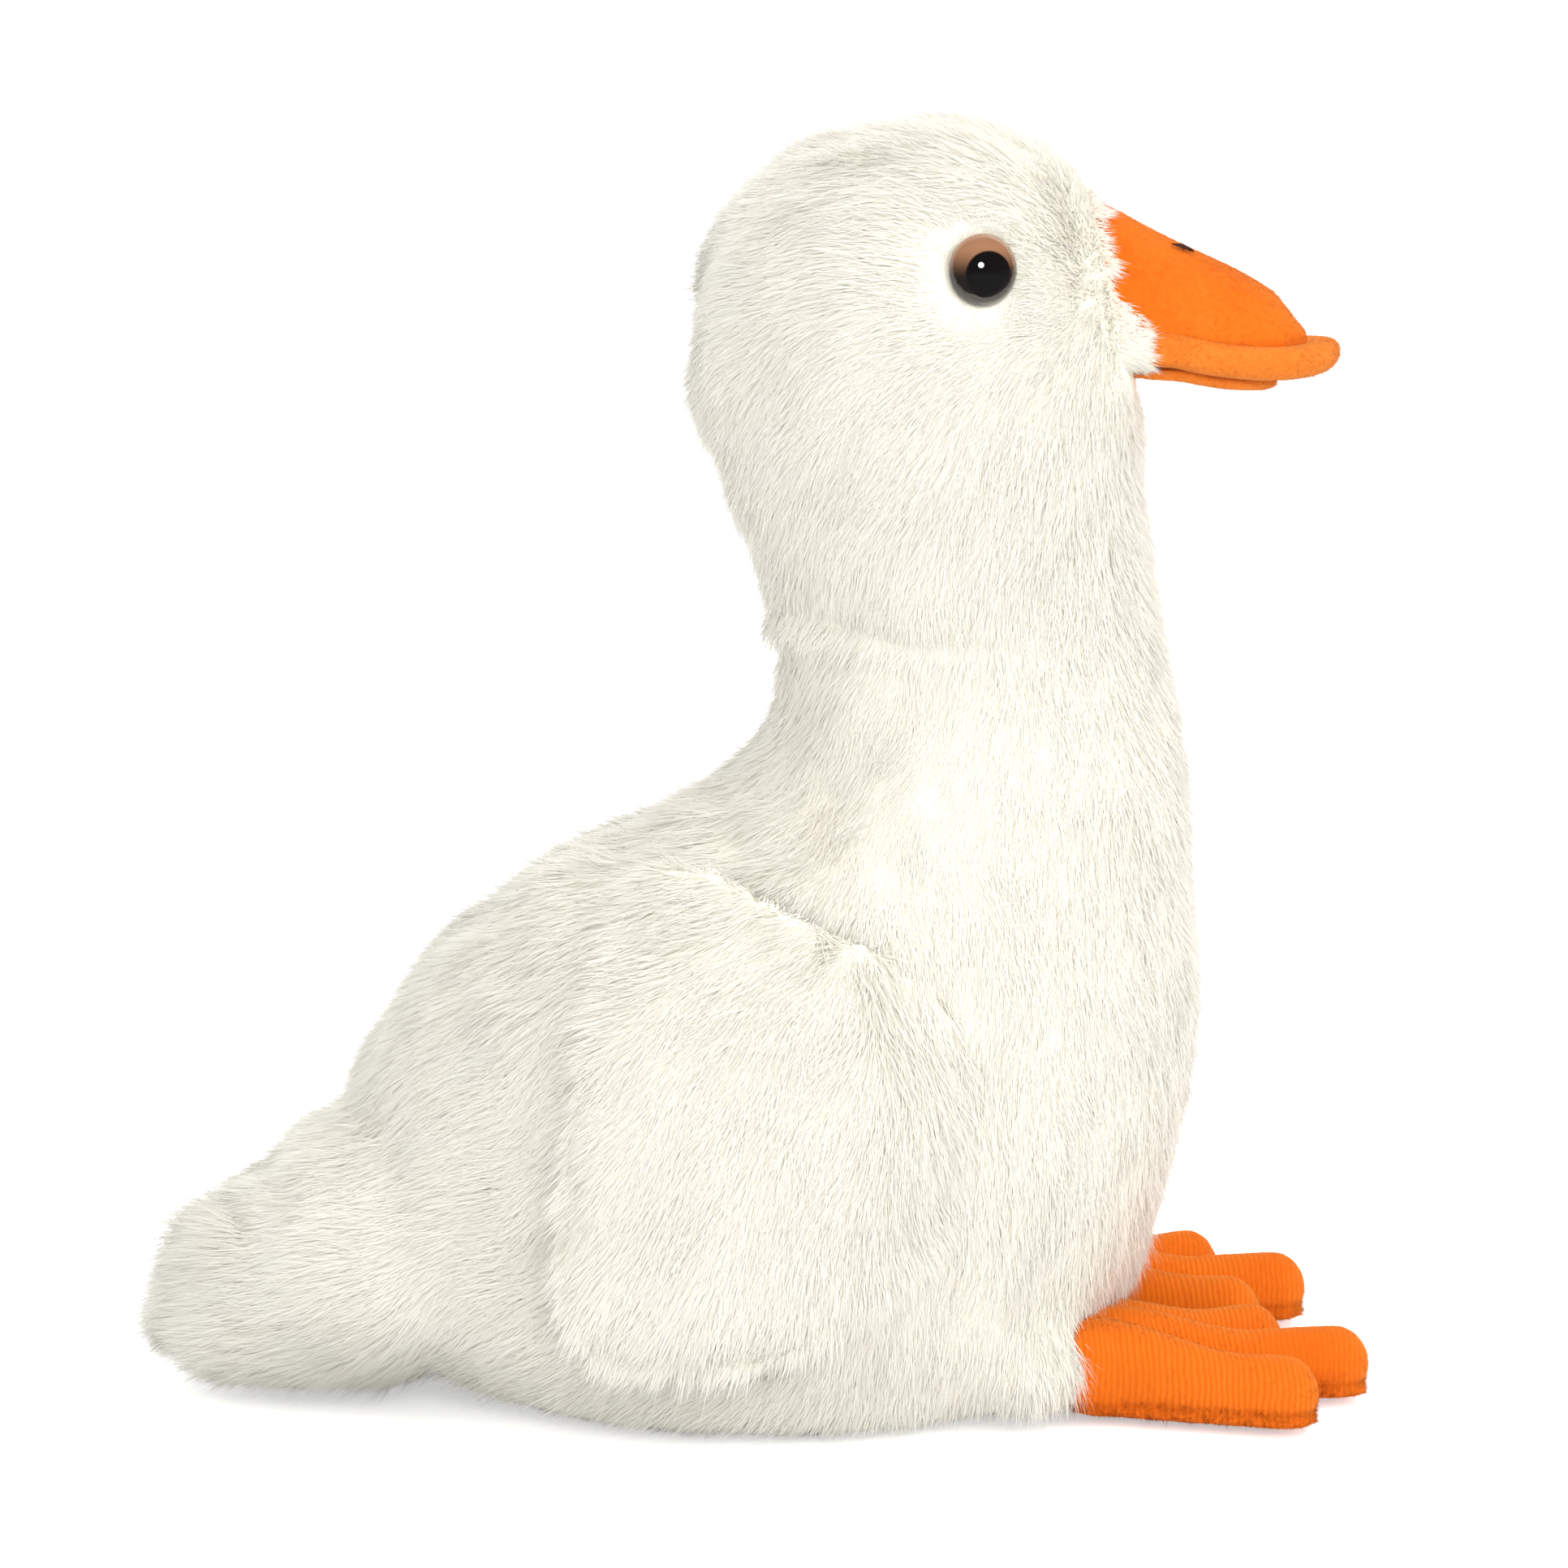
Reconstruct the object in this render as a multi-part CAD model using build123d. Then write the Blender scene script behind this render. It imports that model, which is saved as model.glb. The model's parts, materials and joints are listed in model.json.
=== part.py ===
"""Plush goose, sitting: fur covers, stuffing, bean pouch, safety eyes, velour bill and webbed feet.

Frame: millimetres, +Z up, +X is the way the goose faces, +Y its left side. The origin is on the
surface it sits on, under the middle of its bounding box.
"""

import math
import os

from build123d import *

# ---------------------------------------------------------------- driving dimensions
FUR = 5.0  # fur cover: knitted backing and settled pile
VELOUR = 1.5  # short-pile velour of the bill and feet
GAP = 0.6  # clearance between bodies that move past each other
SEW_CLEARANCE = 1.0  # between a hanging wing or the tail and the body it lies against
BIG = 400.0  # side of the boxes that cut the form into regions

# The goose's girth, one ellipse per height: (height, back, front, half width).
GIRTHS = [
    (0, -48, 59, 45),
    (5, -62, 67.5, 53),
    (16, -74, 75, 59),
    (36, -80.5, 81.5, 62),
    (60, -80.5, 87, 62),
    (80, -71.5, 89, 59),
    (98, -53, 88, 55),
    (112, -29, 87, 48.5),
    (124, -8, 86, 42),
    (136, 1, 83.5, 37),
    (154, 0, 80, 34.5),
    (172, -5.5, 77, 36),
    (190, -13.5, 77, 39.5),
    (206, -15, 76, 41),
    (220, -12.5, 72, 40.5),
    (232, -6.5, 67.5, 37),
    (241, 3, 61.5, 30.5),
    (247, 15, 51.5, 20),
    (250, 26, 42, 7),
]
BASE_BLEND = 20.0  # below this height an inset form also lifts off the base
CROWN_BLEND = 200.0  # above this height an inset form also drops from the crown
CROWN = 250.0

# Neck: the head turns and nods on spheres about one point inside the neck.
NECK_PIVOT = (42.0, 0.0, 120.0)
TORSO_DOME = 50.0  # radius of the rounded top of the torso
NECK_DOME = 64.0  # radius of the rounded top of the neck
NECK_FLOOR = 145.0  # height that is inside TORSO_DOME everywhere in the neck
HEAD_FLOOR = 158.0  # height that is inside NECK_DOME everywhere in the neck

# Head
GUSSET_HALF = 13.0  # half width of the strip over the crown
GUSSET_NAPE = 178.0  # where the strip ends at the nape
GUSSET_BROW = 229.0  # where the strip ends above the bill
EYE_X, EYE_Z = 38.5, 221.0
EYE_Y = 38.4  # where the eye's axis meets the fur
EYE_TOE_IN = 12.0  # degrees that the eye looks forward
EYE_LIFT = 4.0  # degrees that it looks up
EYE_RADIUS = 6.75
EYE_DOME = 4.6  # height of the domed front
EYE_SINK = 3.2  # how deep its rim sits in the pile
STEM_RADIUS, STEM_LENGTH = 1.8, 9.5
WASHER_RADIUS, WASHER_THICK = 8.0, 1.6
WASHER_DEPTH = FUR + 2.2  # clear of the cover, which curves behind the washer's rim

# Bill, drawn level and then drooped about its root
BILL_ROOT = (78.0, 0.0, 207.0)  # on the mouth panel's top, at the face
BILL_DROOP = 5.0  # degrees
BILL_STATIONS = [  # (x from the root, height over the mouth panel, half width)
    (-19, 26.5, 18),
    (-12, 23, 18),
    (0, 17.2, 17.5),
    (9, 12.7, 17),
    (17, 8.9, 15.5),
    (24, 5.2, 12),
    (28.5, 2.1, 6),
]
MOUTH_THICK = 6.8  # velour panel and its rolled seam edge
MOUTH_BACK, MOUTH_TIP, MOUTH_HALF = -15.0, 35.2, 18.5
LOWER_THICK = 3.2
LOWER_BACK, LOWER_TIP, LOWER_HALF = 1.5, 24.0, 15.0
NOSTRIL_X, NOSTRIL_Y = 4.0, 5.0  # middle of the nostril stitches, from the root
NOSTRIL_LONG, THREAD = 4.5, 0.9

# Wings: one ellipse per height: (height, back, front, half thickness).
WING_GIRTHS = [
    (109.5, -22, -11, 3),
    (107, -27, -2, 6.5),
    (101, -31, 9, 9.5),
    (90, -35, 25, 12.5),
    (74, -39, 34, 14),
    (58, -42, 34, 14),
    (43, -43, 28, 13),
    (29, -41, 15, 11),
    (20, -35, 2, 7),
    (16.5, -27, -8, 3),
]
WING_TOE_IN = 7.0  # degrees that the wing's back end turns towards the body
WING_LINING = 2.0

# Tail: one ellipse per station: (x, bottom, top, half width).
TAIL_STATIONS = [
    (-54, 8, 64, 40),
    (-68, 4.5, 63.5, 43),
    (-81, 2.8, 57.5, 40),
    (-93, 2.6, 50, 34),
    (-104, 3.4, 42, 26),
    (-112, 6.5, 33, 16),
    (-116, 12, 24, 6),
]
TAIL_SEAM = 0.42  # share of each station's height where top and under panels meet

# Feet
FOOT_ROOT = (60.0, 29.0, 7.8)  # middle of the sewn hinge roll
FOOT_YAW = 7.0  # degrees that the roll and toes turn outward
ROLL_RADIUS, ROLL_LENGTH = 5.6, 30.0
ROLL_SPACE = 11.0  # radius of the pocket it turns in
POCKET_LONG = 44.0
POCKET_LINING = 2.5
FOOT_LIFT = 12.0  # degrees that the toes can lift into the arch in front of the pocket
TOES = [(-22.0, -8.5, 43.0), (-6.0, 0.0, 56.0), (13.0, 8.5, 45.0)]  # (angle, root offset, length)
TOE_ROOT, TOE_TIP = 5.4, 6.6  # toe radii
WEB_SHARES = (0.97, 0.84, 0.97)  # how far along each toe the web reaches
WEB_THICK = 5.6  # web over the sole
SOLE_DROP = 6.2  # sole under the roll's middle

# Bean pouch
POUCH_CENTRE = (2.0, 0.0, 24.0)
POUCH_RADII = (46.0, 38.0, 16.0)
POUCH_CLOTH = 0.8


# ---------------------------------------------------------------- shared shapes
def above(height):
    """Everything over a height."""
    return Pos(0, 0, height + BIG / 2) * Box(BIG, BIG, BIG)


def side(sign):
    """Everything on the left (+1) or right (-1) of the middle plane."""
    return Pos(0, sign * BIG / 2, 0) * Box(BIG, BIG, 2 * BIG)


def ball(radius):
    return Pos(*NECK_PIVOT) * Sphere(radius)


def ellipsoid(centre, radii):
    return Pos(*centre) * scale(Sphere(1), by=tuple(float(r) for r in radii))


def goose_form(inset=0.0):
    """Torso, neck and head as one rounded form, drawn in by inset."""
    rings = []
    for height, back, front, half in GIRTHS:
        long, wide = (front - back) / 2 - inset, half - inset
        if min(long, wide) < 2:
            continue
        lift = inset * max(0.0, 1 - height / BASE_BLEND)
        drop = inset * max(0.0, (height - CROWN_BLEND) / (CROWN - CROWN_BLEND))
        rings.append(Pos((back + front) / 2, 0, height + lift - drop) * Ellipse(long, wide))
    return loft(rings)


def torso_region():
    """Everything under the rounded top of the torso."""
    return ball(TORSO_DOME) + (Pos(0, 0, NECK_FLOOR - BIG / 2) * Box(BIG, BIG, BIG))


def girth_half_width(x, height):
    """Half width of the goose form at a point along it, straight between the girths."""
    for low, high in zip(GIRTHS, GIRTHS[1:]):
        if low[0] <= height <= high[0]:
            share = (height - low[0]) / (high[0] - low[0])
            back, front, half = (a + (b - a) * share for a, b in zip(low[1:], high[1:]))
            along = (x - (back + front) / 2) / ((front - back) / 2)
            return half * math.sqrt(max(0.0, 1 - along**2))
    raise ValueError("height is outside the goose")


# ---------------------------------------------------------------- torso, neck and head
def torso_parts(outer, inner):
    region = torso_region()
    core = inner & region
    body = outer & region
    for sign in (1, -1):
        core -= foot_pocket(sign, POCKET_LINING)
        body -= foot_pocket(sign)
    skin = body - core
    base = GIRTHS[0]
    belly_tool = Pos((base[1] + base[2]) / 2, 0, 0) * extrude(
        Ellipse((base[2] - base[1]) / 2 - 2, base[3] - 2), FUR
    )
    belly = skin & belly_tool
    sides = skin - belly_tool
    pouch = ellipsoid(POUCH_CENTRE, POUCH_RADII)
    fill = ellipsoid(POUCH_CENTRE, [r - POUCH_CLOTH for r in POUCH_RADII])
    return {
        "body_side_left": sides & side(1),
        "body_side_right": sides & side(-1),
        "belly_panel": belly,
        "body_stuffing": core - pouch,
        "bean_pouch": pouch - fill,
        "bean_fill": fill,
    }


def neck_parts(outer, inner):
    region = (ball(NECK_DOME) - ball(TORSO_DOME + GAP)) & above(NECK_FLOOR)
    skin = (outer - inner) & region
    return {
        "neck_cover_left": skin & side(1),
        "neck_cover_right": skin & side(-1),
        "neck_stuffing": inner & region,
    }


def eye_place(sign):
    """The eye's frame: origin on the fur, +Z out of the head."""
    turn = Rot(0, 0, -sign * EYE_TOE_IN) * Rot(-sign * (90 - EYE_LIFT), 0, 0)
    return Pos(EYE_X, sign * EYE_Y, EYE_Z) * turn


def eye(sign):
    """Domed front on a stem, moulded in one."""
    sphere_radius = (EYE_RADIUS**2 + EYE_DOME**2) / (2 * EYE_DOME)
    dome = Pos(0, 0, EYE_DOME - sphere_radius) * Sphere(sphere_radius)
    dome &= Pos(0, 0, EYE_RADIUS) * Box(3 * EYE_RADIUS, 3 * EYE_RADIUS, 2 * EYE_RADIUS)
    stem = Pos(0, 0, -STEM_LENGTH / 2) * Cylinder(STEM_RADIUS, STEM_LENGTH)
    return eye_place(sign) * Pos(0, 0, -EYE_SINK) * (dome + stem)


def washer(sign):
    """Toothless lock washer pushed on the stem, behind the cover."""
    ring = Cylinder(WASHER_RADIUS, WASHER_THICK) - Cylinder(STEM_RADIUS + 0.05, 3 * WASHER_THICK)
    return eye_place(sign) * Pos(0, 0, -WASHER_DEPTH - WASHER_THICK / 2) * ring


def eye_pocket(sign):
    """Parted pile round the eye, the stem hole, and the room for the washer in the stuffing."""
    pile = Pos(0, 0, BIG / 8 - EYE_SINK) * Cylinder(EYE_RADIUS + 0.4, BIG / 4)
    stem = Cylinder(STEM_RADIUS + 0.1, 2 * (STEM_LENGTH + EYE_SINK + 1))
    back = STEM_LENGTH + EYE_SINK + 0.5
    room = Pos(0, 0, -(WASHER_DEPTH + back) / 2) * Cylinder(WASHER_RADIUS + 0.3, back - WASHER_DEPTH + 0.4)
    return eye_place(sign) * (pile + stem), eye_place(sign) * room


def head_parts(outer, inner):
    region = above(HEAD_FLOOR) - ball(NECK_DOME + GAP)
    skin = (outer - inner) & region
    stuffing = inner & region
    for sign in (1, -1):
        pocket, room = eye_pocket(sign)
        skin -= pocket
        stuffing -= pocket + room
    depth = 120.0
    crown_strip = Pos(0, 0, GUSSET_NAPE + BIG / 2) * Box(BIG, 2 * GUSSET_HALF, BIG)
    face = Pos(EYE_X + depth / 2, 0, GUSSET_BROW - depth / 2) * Box(depth, 2 * GUSSET_HALF + 1, depth)
    strip = crown_strip - face
    sides = skin - strip
    return {
        "head_side_left": sides & side(1),
        "head_side_right": sides & side(-1),
        "head_gusset": skin & strip,
        "head_stuffing": stuffing,
        "eye_left": eye(1),
        "eye_right": eye(-1),
        "eye_washer_left": washer(1),
        "eye_washer_right": washer(-1),
    }


# ---------------------------------------------------------------- bill
def bill_place():
    return Pos(*BILL_ROOT) * Rot(0, BILL_DROOP, 0)


def bill_dome(inset):
    """Half-round sections standing on the mouth panel, from the face to the tip."""
    sections = []
    for x, height, half in BILL_STATIONS:
        wide, tall = half - inset, height - inset
        if min(wide, tall) < 0.8:
            continue
        profile = Ellipse(wide, tall) & (Pos(0, tall) * Rectangle(2 * wide + 2, 2 * tall))
        station = Plane(origin=(x - inset * (x > 16), 0, 0), x_dir=(0, 1, 0), z_dir=(1, 0, 0))
        sections.append(station * profile)
    return bill_place() * loft(sections)


def tongue(back, tip, half, thick, top):
    """A tongue-shaped pad with a round front and soft edges."""
    round_x = tip - half
    outline = Pos((back + round_x) / 2, 0) * Rectangle(round_x - back, 2 * half)
    outline += Pos(round_x, 0) * Circle(half)
    pad = Pos(0, 0, top - thick) * extrude(outline, thick)
    edges = pad.edges().filter_by(Axis.Z, reverse=True).filter_by(lambda e: e.center().X > back + 1)
    return bill_place() * fillet(edges, thick * 0.42)


def nostril(sign):
    """A few turns of dark thread through the cover, beside the ridge."""
    stitch = Cylinder(THREAD, NOSTRIL_LONG)
    low, high = BILL_STATIONS[2], BILL_STATIONS[3]
    share = (NOSTRIL_X - low[0]) / (high[0] - low[0])
    tall, half = (low[i] + (high[i] - low[i]) * share for i in (1, 2))
    height = tall * math.sqrt(1 - (NOSTRIL_Y / half) ** 2)
    slope = math.degrees(math.atan2(low[1] - high[1], high[0] - low[0]))
    return bill_place() * Pos(NOSTRIL_X, sign * NOSTRIL_Y, height) * Rot(0, 90 + slope, 0) * stitch


def bill_parts(outer):
    dome, filling = bill_dome(0.0), bill_dome(VELOUR)
    return {
        "upper_bill_cover": dome - filling - outer,
        "bill_stuffing": filling - outer,
        "mouth_panel": tongue(MOUTH_BACK, MOUTH_TIP, MOUTH_HALF, MOUTH_THICK, 0) - outer,
        "nostril_left": nostril(1),
        "nostril_right": nostril(-1),
    }


def lower_bill_parts(face):
    """Pad that hinges at the chin; face is the head drawn out by the hinge's clearance."""
    top = -MOUTH_THICK - GAP / 2
    core_half, core_tip = LOWER_HALF - 1.2, LOWER_TIP - 1.2
    pad = tongue(LOWER_BACK, LOWER_TIP, LOWER_HALF, LOWER_THICK, top) - face
    core = tongue(LOWER_BACK + 2.2, core_tip, core_half, LOWER_THICK - 1.6, top - 0.8) - face
    return {"lower_bill_cover": pad - core, "lower_bill_padding": core}


# ---------------------------------------------------------------- wings
def wing_form(sign, inset=0.0):
    rings = []
    for height, back, front, half in WING_GIRTHS:
        long, thick = (front - back) / 2 - inset, half - inset
        if min(long, thick) < 1:
            continue
        middle = (back + front) / 2
        reach = girth_half_width(middle, height)
        ring = Rot(0, 0, sign * WING_TOE_IN) * Ellipse(long, thick)
        rings.append(Pos(middle, sign * reach, height) * ring)
    return loft(rings)


def wing_parts(sign, name, body, lining_limit):
    """Outer fur panel, lining against the body, and padding between them."""
    whole, core = wing_form(sign), wing_form(sign, FUR)
    room = whole - body
    return {
        f"wing_lining_{name}": room & lining_limit,
        f"wing_padding_{name}": core - lining_limit,
        f"wing_cover_{name}": room - lining_limit - core,
    }


# ---------------------------------------------------------------- tail
def tail_form(inset=0.0):
    sections = []
    for x, low, high, half in TAIL_STATIONS:
        tall, wide = (high - low) / 2 - inset, half - inset
        if min(tall, wide) < 1:
            continue
        place = Plane(origin=(x + inset * (x < -100), 0, (low + high) / 2), x_dir=(0, 1, 0), z_dir=(1, 0, 0))
        sections.append(place * Ellipse(wide, tall))
    return loft(sections)


def tail_parts(body):
    whole, core = tail_form(), tail_form(FUR)
    skin = whole - core - body
    low_end, high_end = TAIL_STATIONS[-1][1:3]
    root_low, root_high = TAIL_STATIONS[1][1:3]
    seam_end = low_end + (high_end - low_end) * TAIL_SEAM
    seam_root = root_low + (root_high - root_low) * TAIL_SEAM
    seam = Polyline(
        (TAIL_STATIONS[-1][0] - 10, seam_end),
        (TAIL_STATIONS[-1][0], seam_end),
        (TAIL_STATIONS[1][0], seam_root),
        (0, seam_root),
        (0, BIG / 2),
        (TAIL_STATIONS[-1][0] - 10, BIG / 2),
        close=True,
    )
    over = Plane.XZ * make_face(seam)
    over = extrude(over, BIG / 2, both=True)
    return {
        "tail_top_panel": skin & over,
        "tail_under_panel": skin - over,
        "tail_stuffing": core - body,
    }


# ---------------------------------------------------------------- feet
def foot_place(sign):
    """The foot's frame: +X along the foot, +Y to the goose's outer side, origin in the hinge roll."""
    x, y, z = FOOT_ROOT
    return Pos(x, sign * y, z) * Rot(0, 0, sign * FOOT_YAW)


def foot_pocket(sign, lining=0.0):
    """Pocket in the torso that the hinge roll turns in, and the arch that the toes lift into."""
    wide = POCKET_LONG + 2 * lining
    roof = TOE_TIP + 1.2 + lining
    room = Rot(90, 0, 0) * Cylinder(ROLL_SPACE + lining, wide)
    arch = Pos(POCKET_LONG / 2, 0, (roof - 2 * ROLL_SPACE) / 2) * Box(POCKET_LONG, wide, roof + 2 * ROLL_SPACE)
    return foot_place(sign) * (room + Rot(0, -FOOT_LIFT, 0) * arch)


def toe(sign, angle, offset, length, inset=0.0):
    """A stuffed toe: a long cone between two balls, lying on the sole."""
    root, tip = TOE_ROOT - inset, TOE_TIP - inset
    run = length - TOE_TIP
    lean = math.asin((tip - root) / run)
    lift, back = math.cos(lean), -math.sin(lean)
    start, end = (root * back, root * lift), (run + tip * back, tip * lift)
    half = math.radians((90 - math.degrees(lean)) / 2 + math.degrees(lean))
    outline = [
        ThreePointArc((-root, 0), (-root * math.sin(half), root * math.cos(half)), start),
        Line(start, end),
        ThreePointArc(end, (run + tip * math.cos(math.pi / 4), tip * math.sin(math.pi / 4)), (run + tip, 0)),
        Line((run + tip, 0), (-root, 0)),
    ]
    solid = revolve(make_face(outline), Axis.X)
    return Pos(0, sign * offset, 0) * Rot(0, 0, sign * angle) * solid


def foot_parts(sign, name):
    """Velour top over three stuffed toes, the web between them, and the sole."""
    place = foot_place(sign)
    low = -SOLE_DROP
    sole_top = low + VELOUR
    outline = Sketch()
    web = [(0, -ROLL_LENGTH / 2 * 0.7 * sign)]
    for (angle, offset, length), share in zip(TOES, WEB_SHARES):
        turn = math.radians(sign * angle)
        run = length - TOE_TIP
        tip = (run * math.cos(turn), sign * offset + run * math.sin(turn))
        root_round, tip_round = Pos(0, sign * offset) * Circle(TOE_ROOT), Pos(*tip) * Circle(TOE_TIP)
        outline += make_hull(root_round.edges() + tip_round.edges())
        web.append((tip[0] * share, sign * offset + (tip[1] - sign * offset) * share))
    web.append((0, ROLL_LENGTH / 2 * 0.7 * sign))
    web_face = make_face(Polyline(*web, close=True))
    front = Pos(BIG / 2, 0) * Rectangle(BIG, BIG)
    outline = (outline + web_face) & front
    sole = Pos(0, 0, low) * extrude(outline, VELOUR)
    under = Pos(BIG / 2, 0, sole_top - BIG / 2) * Box(BIG, BIG, BIG)
    roll = Rot(90, 0, 0) * Cylinder(ROLL_RADIUS, ROLL_LENGTH)
    roll_core = Rot(90, 0, 0) * Cylinder(ROLL_RADIUS - VELOUR, ROLL_LENGTH - 2 * VELOUR)
    cover = roll + Pos(0, 0, sole_top) * extrude(web_face & front, WEB_THICK)
    stuffing = roll_core
    for angle, offset, length in TOES:
        cover += toe(sign, angle, offset, length)
        stuffing += toe(sign, angle, offset, length, VELOUR)
    ground = Pos(0, 0, low - BIG / 2) * Box(BIG, BIG, BIG)
    cover -= under + ground
    stuffing -= under + ground
    return {
        f"foot_top_{name}": place * (cover - stuffing),
        f"foot_sole_{name}": place * sole,
        f"foot_stuffing_{name}": place * stuffing,
    }


# ---------------------------------------------------------------- assembly
def build():
    outer, inner = goose_form(), goose_form(FUR)
    body_room = goose_form(-SEW_CLEARANCE)
    parts = torso_parts(outer, inner)
    parts |= neck_parts(outer, inner)
    parts |= head_parts(outer, inner)
    parts |= bill_parts(outer)
    parts |= lower_bill_parts(body_room)
    lining_limit = goose_form(-SEW_CLEARANCE - WING_LINING)
    for sign, name in ((1, "left"), (-1, "right")):
        parts |= wing_parts(sign, name, body_room, lining_limit)
        parts |= foot_parts(sign, name)
    parts |= tail_parts(body_room)
    return parts


if __name__ == "__main__":
    os.makedirs("parts", exist_ok=True)
    for node, shape in build().items():
        export_step(shape, f"parts/{node}.step")
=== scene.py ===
"""Plush goose: fur, velour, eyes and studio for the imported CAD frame, laid out as a Blender add-on."""

import json
import math

import bmesh
import bpy
import numpy as np
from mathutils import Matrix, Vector
from mathutils.bvhtree import BVHTree


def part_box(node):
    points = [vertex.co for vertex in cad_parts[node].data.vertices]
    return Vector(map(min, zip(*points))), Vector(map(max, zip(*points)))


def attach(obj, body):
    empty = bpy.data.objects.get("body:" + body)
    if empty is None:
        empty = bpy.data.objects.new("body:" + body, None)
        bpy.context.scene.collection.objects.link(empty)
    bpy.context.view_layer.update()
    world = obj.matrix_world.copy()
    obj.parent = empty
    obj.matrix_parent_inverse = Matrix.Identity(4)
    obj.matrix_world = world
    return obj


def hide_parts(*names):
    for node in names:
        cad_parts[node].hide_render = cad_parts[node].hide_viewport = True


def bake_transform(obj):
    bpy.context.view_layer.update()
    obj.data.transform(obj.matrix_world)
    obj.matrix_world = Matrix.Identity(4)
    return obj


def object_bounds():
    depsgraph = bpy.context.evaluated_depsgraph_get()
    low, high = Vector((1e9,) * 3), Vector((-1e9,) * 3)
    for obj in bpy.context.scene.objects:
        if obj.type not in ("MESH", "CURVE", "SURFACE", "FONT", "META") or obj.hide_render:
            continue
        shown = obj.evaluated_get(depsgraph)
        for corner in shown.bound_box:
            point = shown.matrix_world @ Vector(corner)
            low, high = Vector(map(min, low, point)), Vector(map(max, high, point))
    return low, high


bl_info = {
    "name": "Plush goose",
    "version": (1, 0, 0),
    "blender": (4, 5, 0),
    "location": "View3D > Sidebar > Goose",
    "description": "Builds a stuffed goose with combed fur over a rigged CAD frame",
    "category": "Object",
}

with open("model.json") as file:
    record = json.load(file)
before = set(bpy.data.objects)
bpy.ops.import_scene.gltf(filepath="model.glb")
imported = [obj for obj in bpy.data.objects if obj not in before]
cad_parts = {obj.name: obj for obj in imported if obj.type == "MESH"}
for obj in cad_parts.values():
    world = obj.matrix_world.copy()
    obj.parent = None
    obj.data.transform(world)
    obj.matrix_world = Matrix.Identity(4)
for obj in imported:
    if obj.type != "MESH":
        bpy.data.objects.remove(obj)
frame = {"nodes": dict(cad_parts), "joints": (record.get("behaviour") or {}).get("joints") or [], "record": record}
CAD_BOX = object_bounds()
JOINTS = {joint["name"]: joint for joint in frame["joints"]}
MM = 0.001
SIDES = {"left": 1, "right": -1}  # the sign of Y on each side
EYE_NODES = ("eye_left", "eye_right")
STRANDS = {"body": 53000, "tail": 54000, "head": 80000, "wing": 57000, "fringe": 15000, "foot": 36000, "edge": 8000}

FUR_INSET = 3.6 * MM  # the pile's dense base lies this far under the CAD cover's settled surface
FLOOR_GAP = 0.3 * MM  # no strand reaches lower than this
CLOTH_STEPS = 16
NECK = Vector(JOINTS["head_nod"]["pos_m"])
NECK_SEAM = NECK.z + 31 * MM  # height of the seam round the neck, at the nape
NECK_SEAM_SLOPE = -0.1  # the seam drops this much per metre towards the throat
BREAST_LINE = 22 * MM  # the pile of the breast is a piece of its own in front of this
TAIL_CUT = -0.05  # the back's skin parts here, so that its rear can follow the tail
FILLERS = (  # centre and radii in mm: the cover runs on over each foot's pocket, and over the root of the tail
    ((45, 29, 13), (19, 26, 13)),
    ((-77, 0, 46), (17, 31, 12)),
)
CREASES = (  # start, end, depth and width in mm, on the left side and mirrored
    ((60, 26, 172), (49, 33, 158), 1.4, 3.0),
    ((67, 22, 184), (63, 27, 176), 0.9, 2.6),
    ((4, 30, 226), (-6, 24, 206), 0.8, 6.0),
    ((-88, 0, 57), (-82, 34, 48), 0.8, 3.5),
    ((-76, 34, 50), (-66, 46, 30), 1.0, 4.0),
    ((-105, 0, 42), (-92, 34, 28), 0.7, 3.0),
)
BILL_ROOT, BILL_REACH = np.array([78.0, 0.0, 207.0]) * MM, 35 * MM  # middle of the dome's base, and on to the tip
BILL_SLOPE = math.tan(math.radians(5))
NOSTRIL_X, NOSTRIL_Y = 80.5, 7.2  # middle of the left nostril in mm
STITCHES = (  # start and end along the ridge and height over its middle, and bow of each thread, in mm
    (-2.2, 0.3, 0.4, 0.2, 0.5),
    (-1.5, -0.1, 1.3, -0.5, 0.7),
    (-0.3, 0.25, 2.2, -0.35, 0.6),
    (0.5, -0.6, 1.5, 0.15, 0.4),
)
RIB = 1.1 * MM  # spacing of the velour's knit courses
FOOT_SEAM, FOOT_SEAM_WIDTH = 4.4 * MM, 0.8 * MM  # height of the seam round each foot's edge, and half its width
UP = np.array([0, 0, 1.0])


# ---- settings
class GooseSettings(bpy.types.PropertyGroup):
    density: bpy.props.FloatProperty(name="Fur density", description="Share of the full count of strands",
                                     subtype="FACTOR", default=1.0, min=0.02, max=1.5)
    pile: bpy.props.FloatProperty(name="Pile length", description="Length of the fur in millimetres",
                                  default=7.5, min=2.0, max=20.0)
    puff: bpy.props.FloatProperty(name="Stuffing pressure", description="Pressure that swells the skins",
                                  default=4.0, min=0.0, max=10.0)
    seed: bpy.props.IntProperty(name="Seed", description="Start of the random draws", default=7, min=0)


def settings():
    return bpy.context.scene.goose


def pile_length():
    return settings().pile * MM


# ---- vector helpers
def unit(v):
    return v / np.maximum(np.linalg.norm(v, axis=-1, keepdims=True), 1e-12)


def norm(v):
    return np.linalg.norm(v, axis=1)


def dot(a, b):
    return np.sum(a * b, axis=-1, keepdims=True)


def smooth(x, low, high):
    """0 up to low and 1 from high on, or the other way round."""
    t = np.clip((x - low) / (high - low), 0, 1)
    return t * t * (3 - 2 * t)


def ramp(x, low, high):
    """Smooth step with its ends in mm."""
    return smooth(x, low * MM, high * MM)


def bell(x, width):
    """1 at zero, falling off to both sides over about this width."""
    return np.exp(-((x / width) ** 2))


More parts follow.
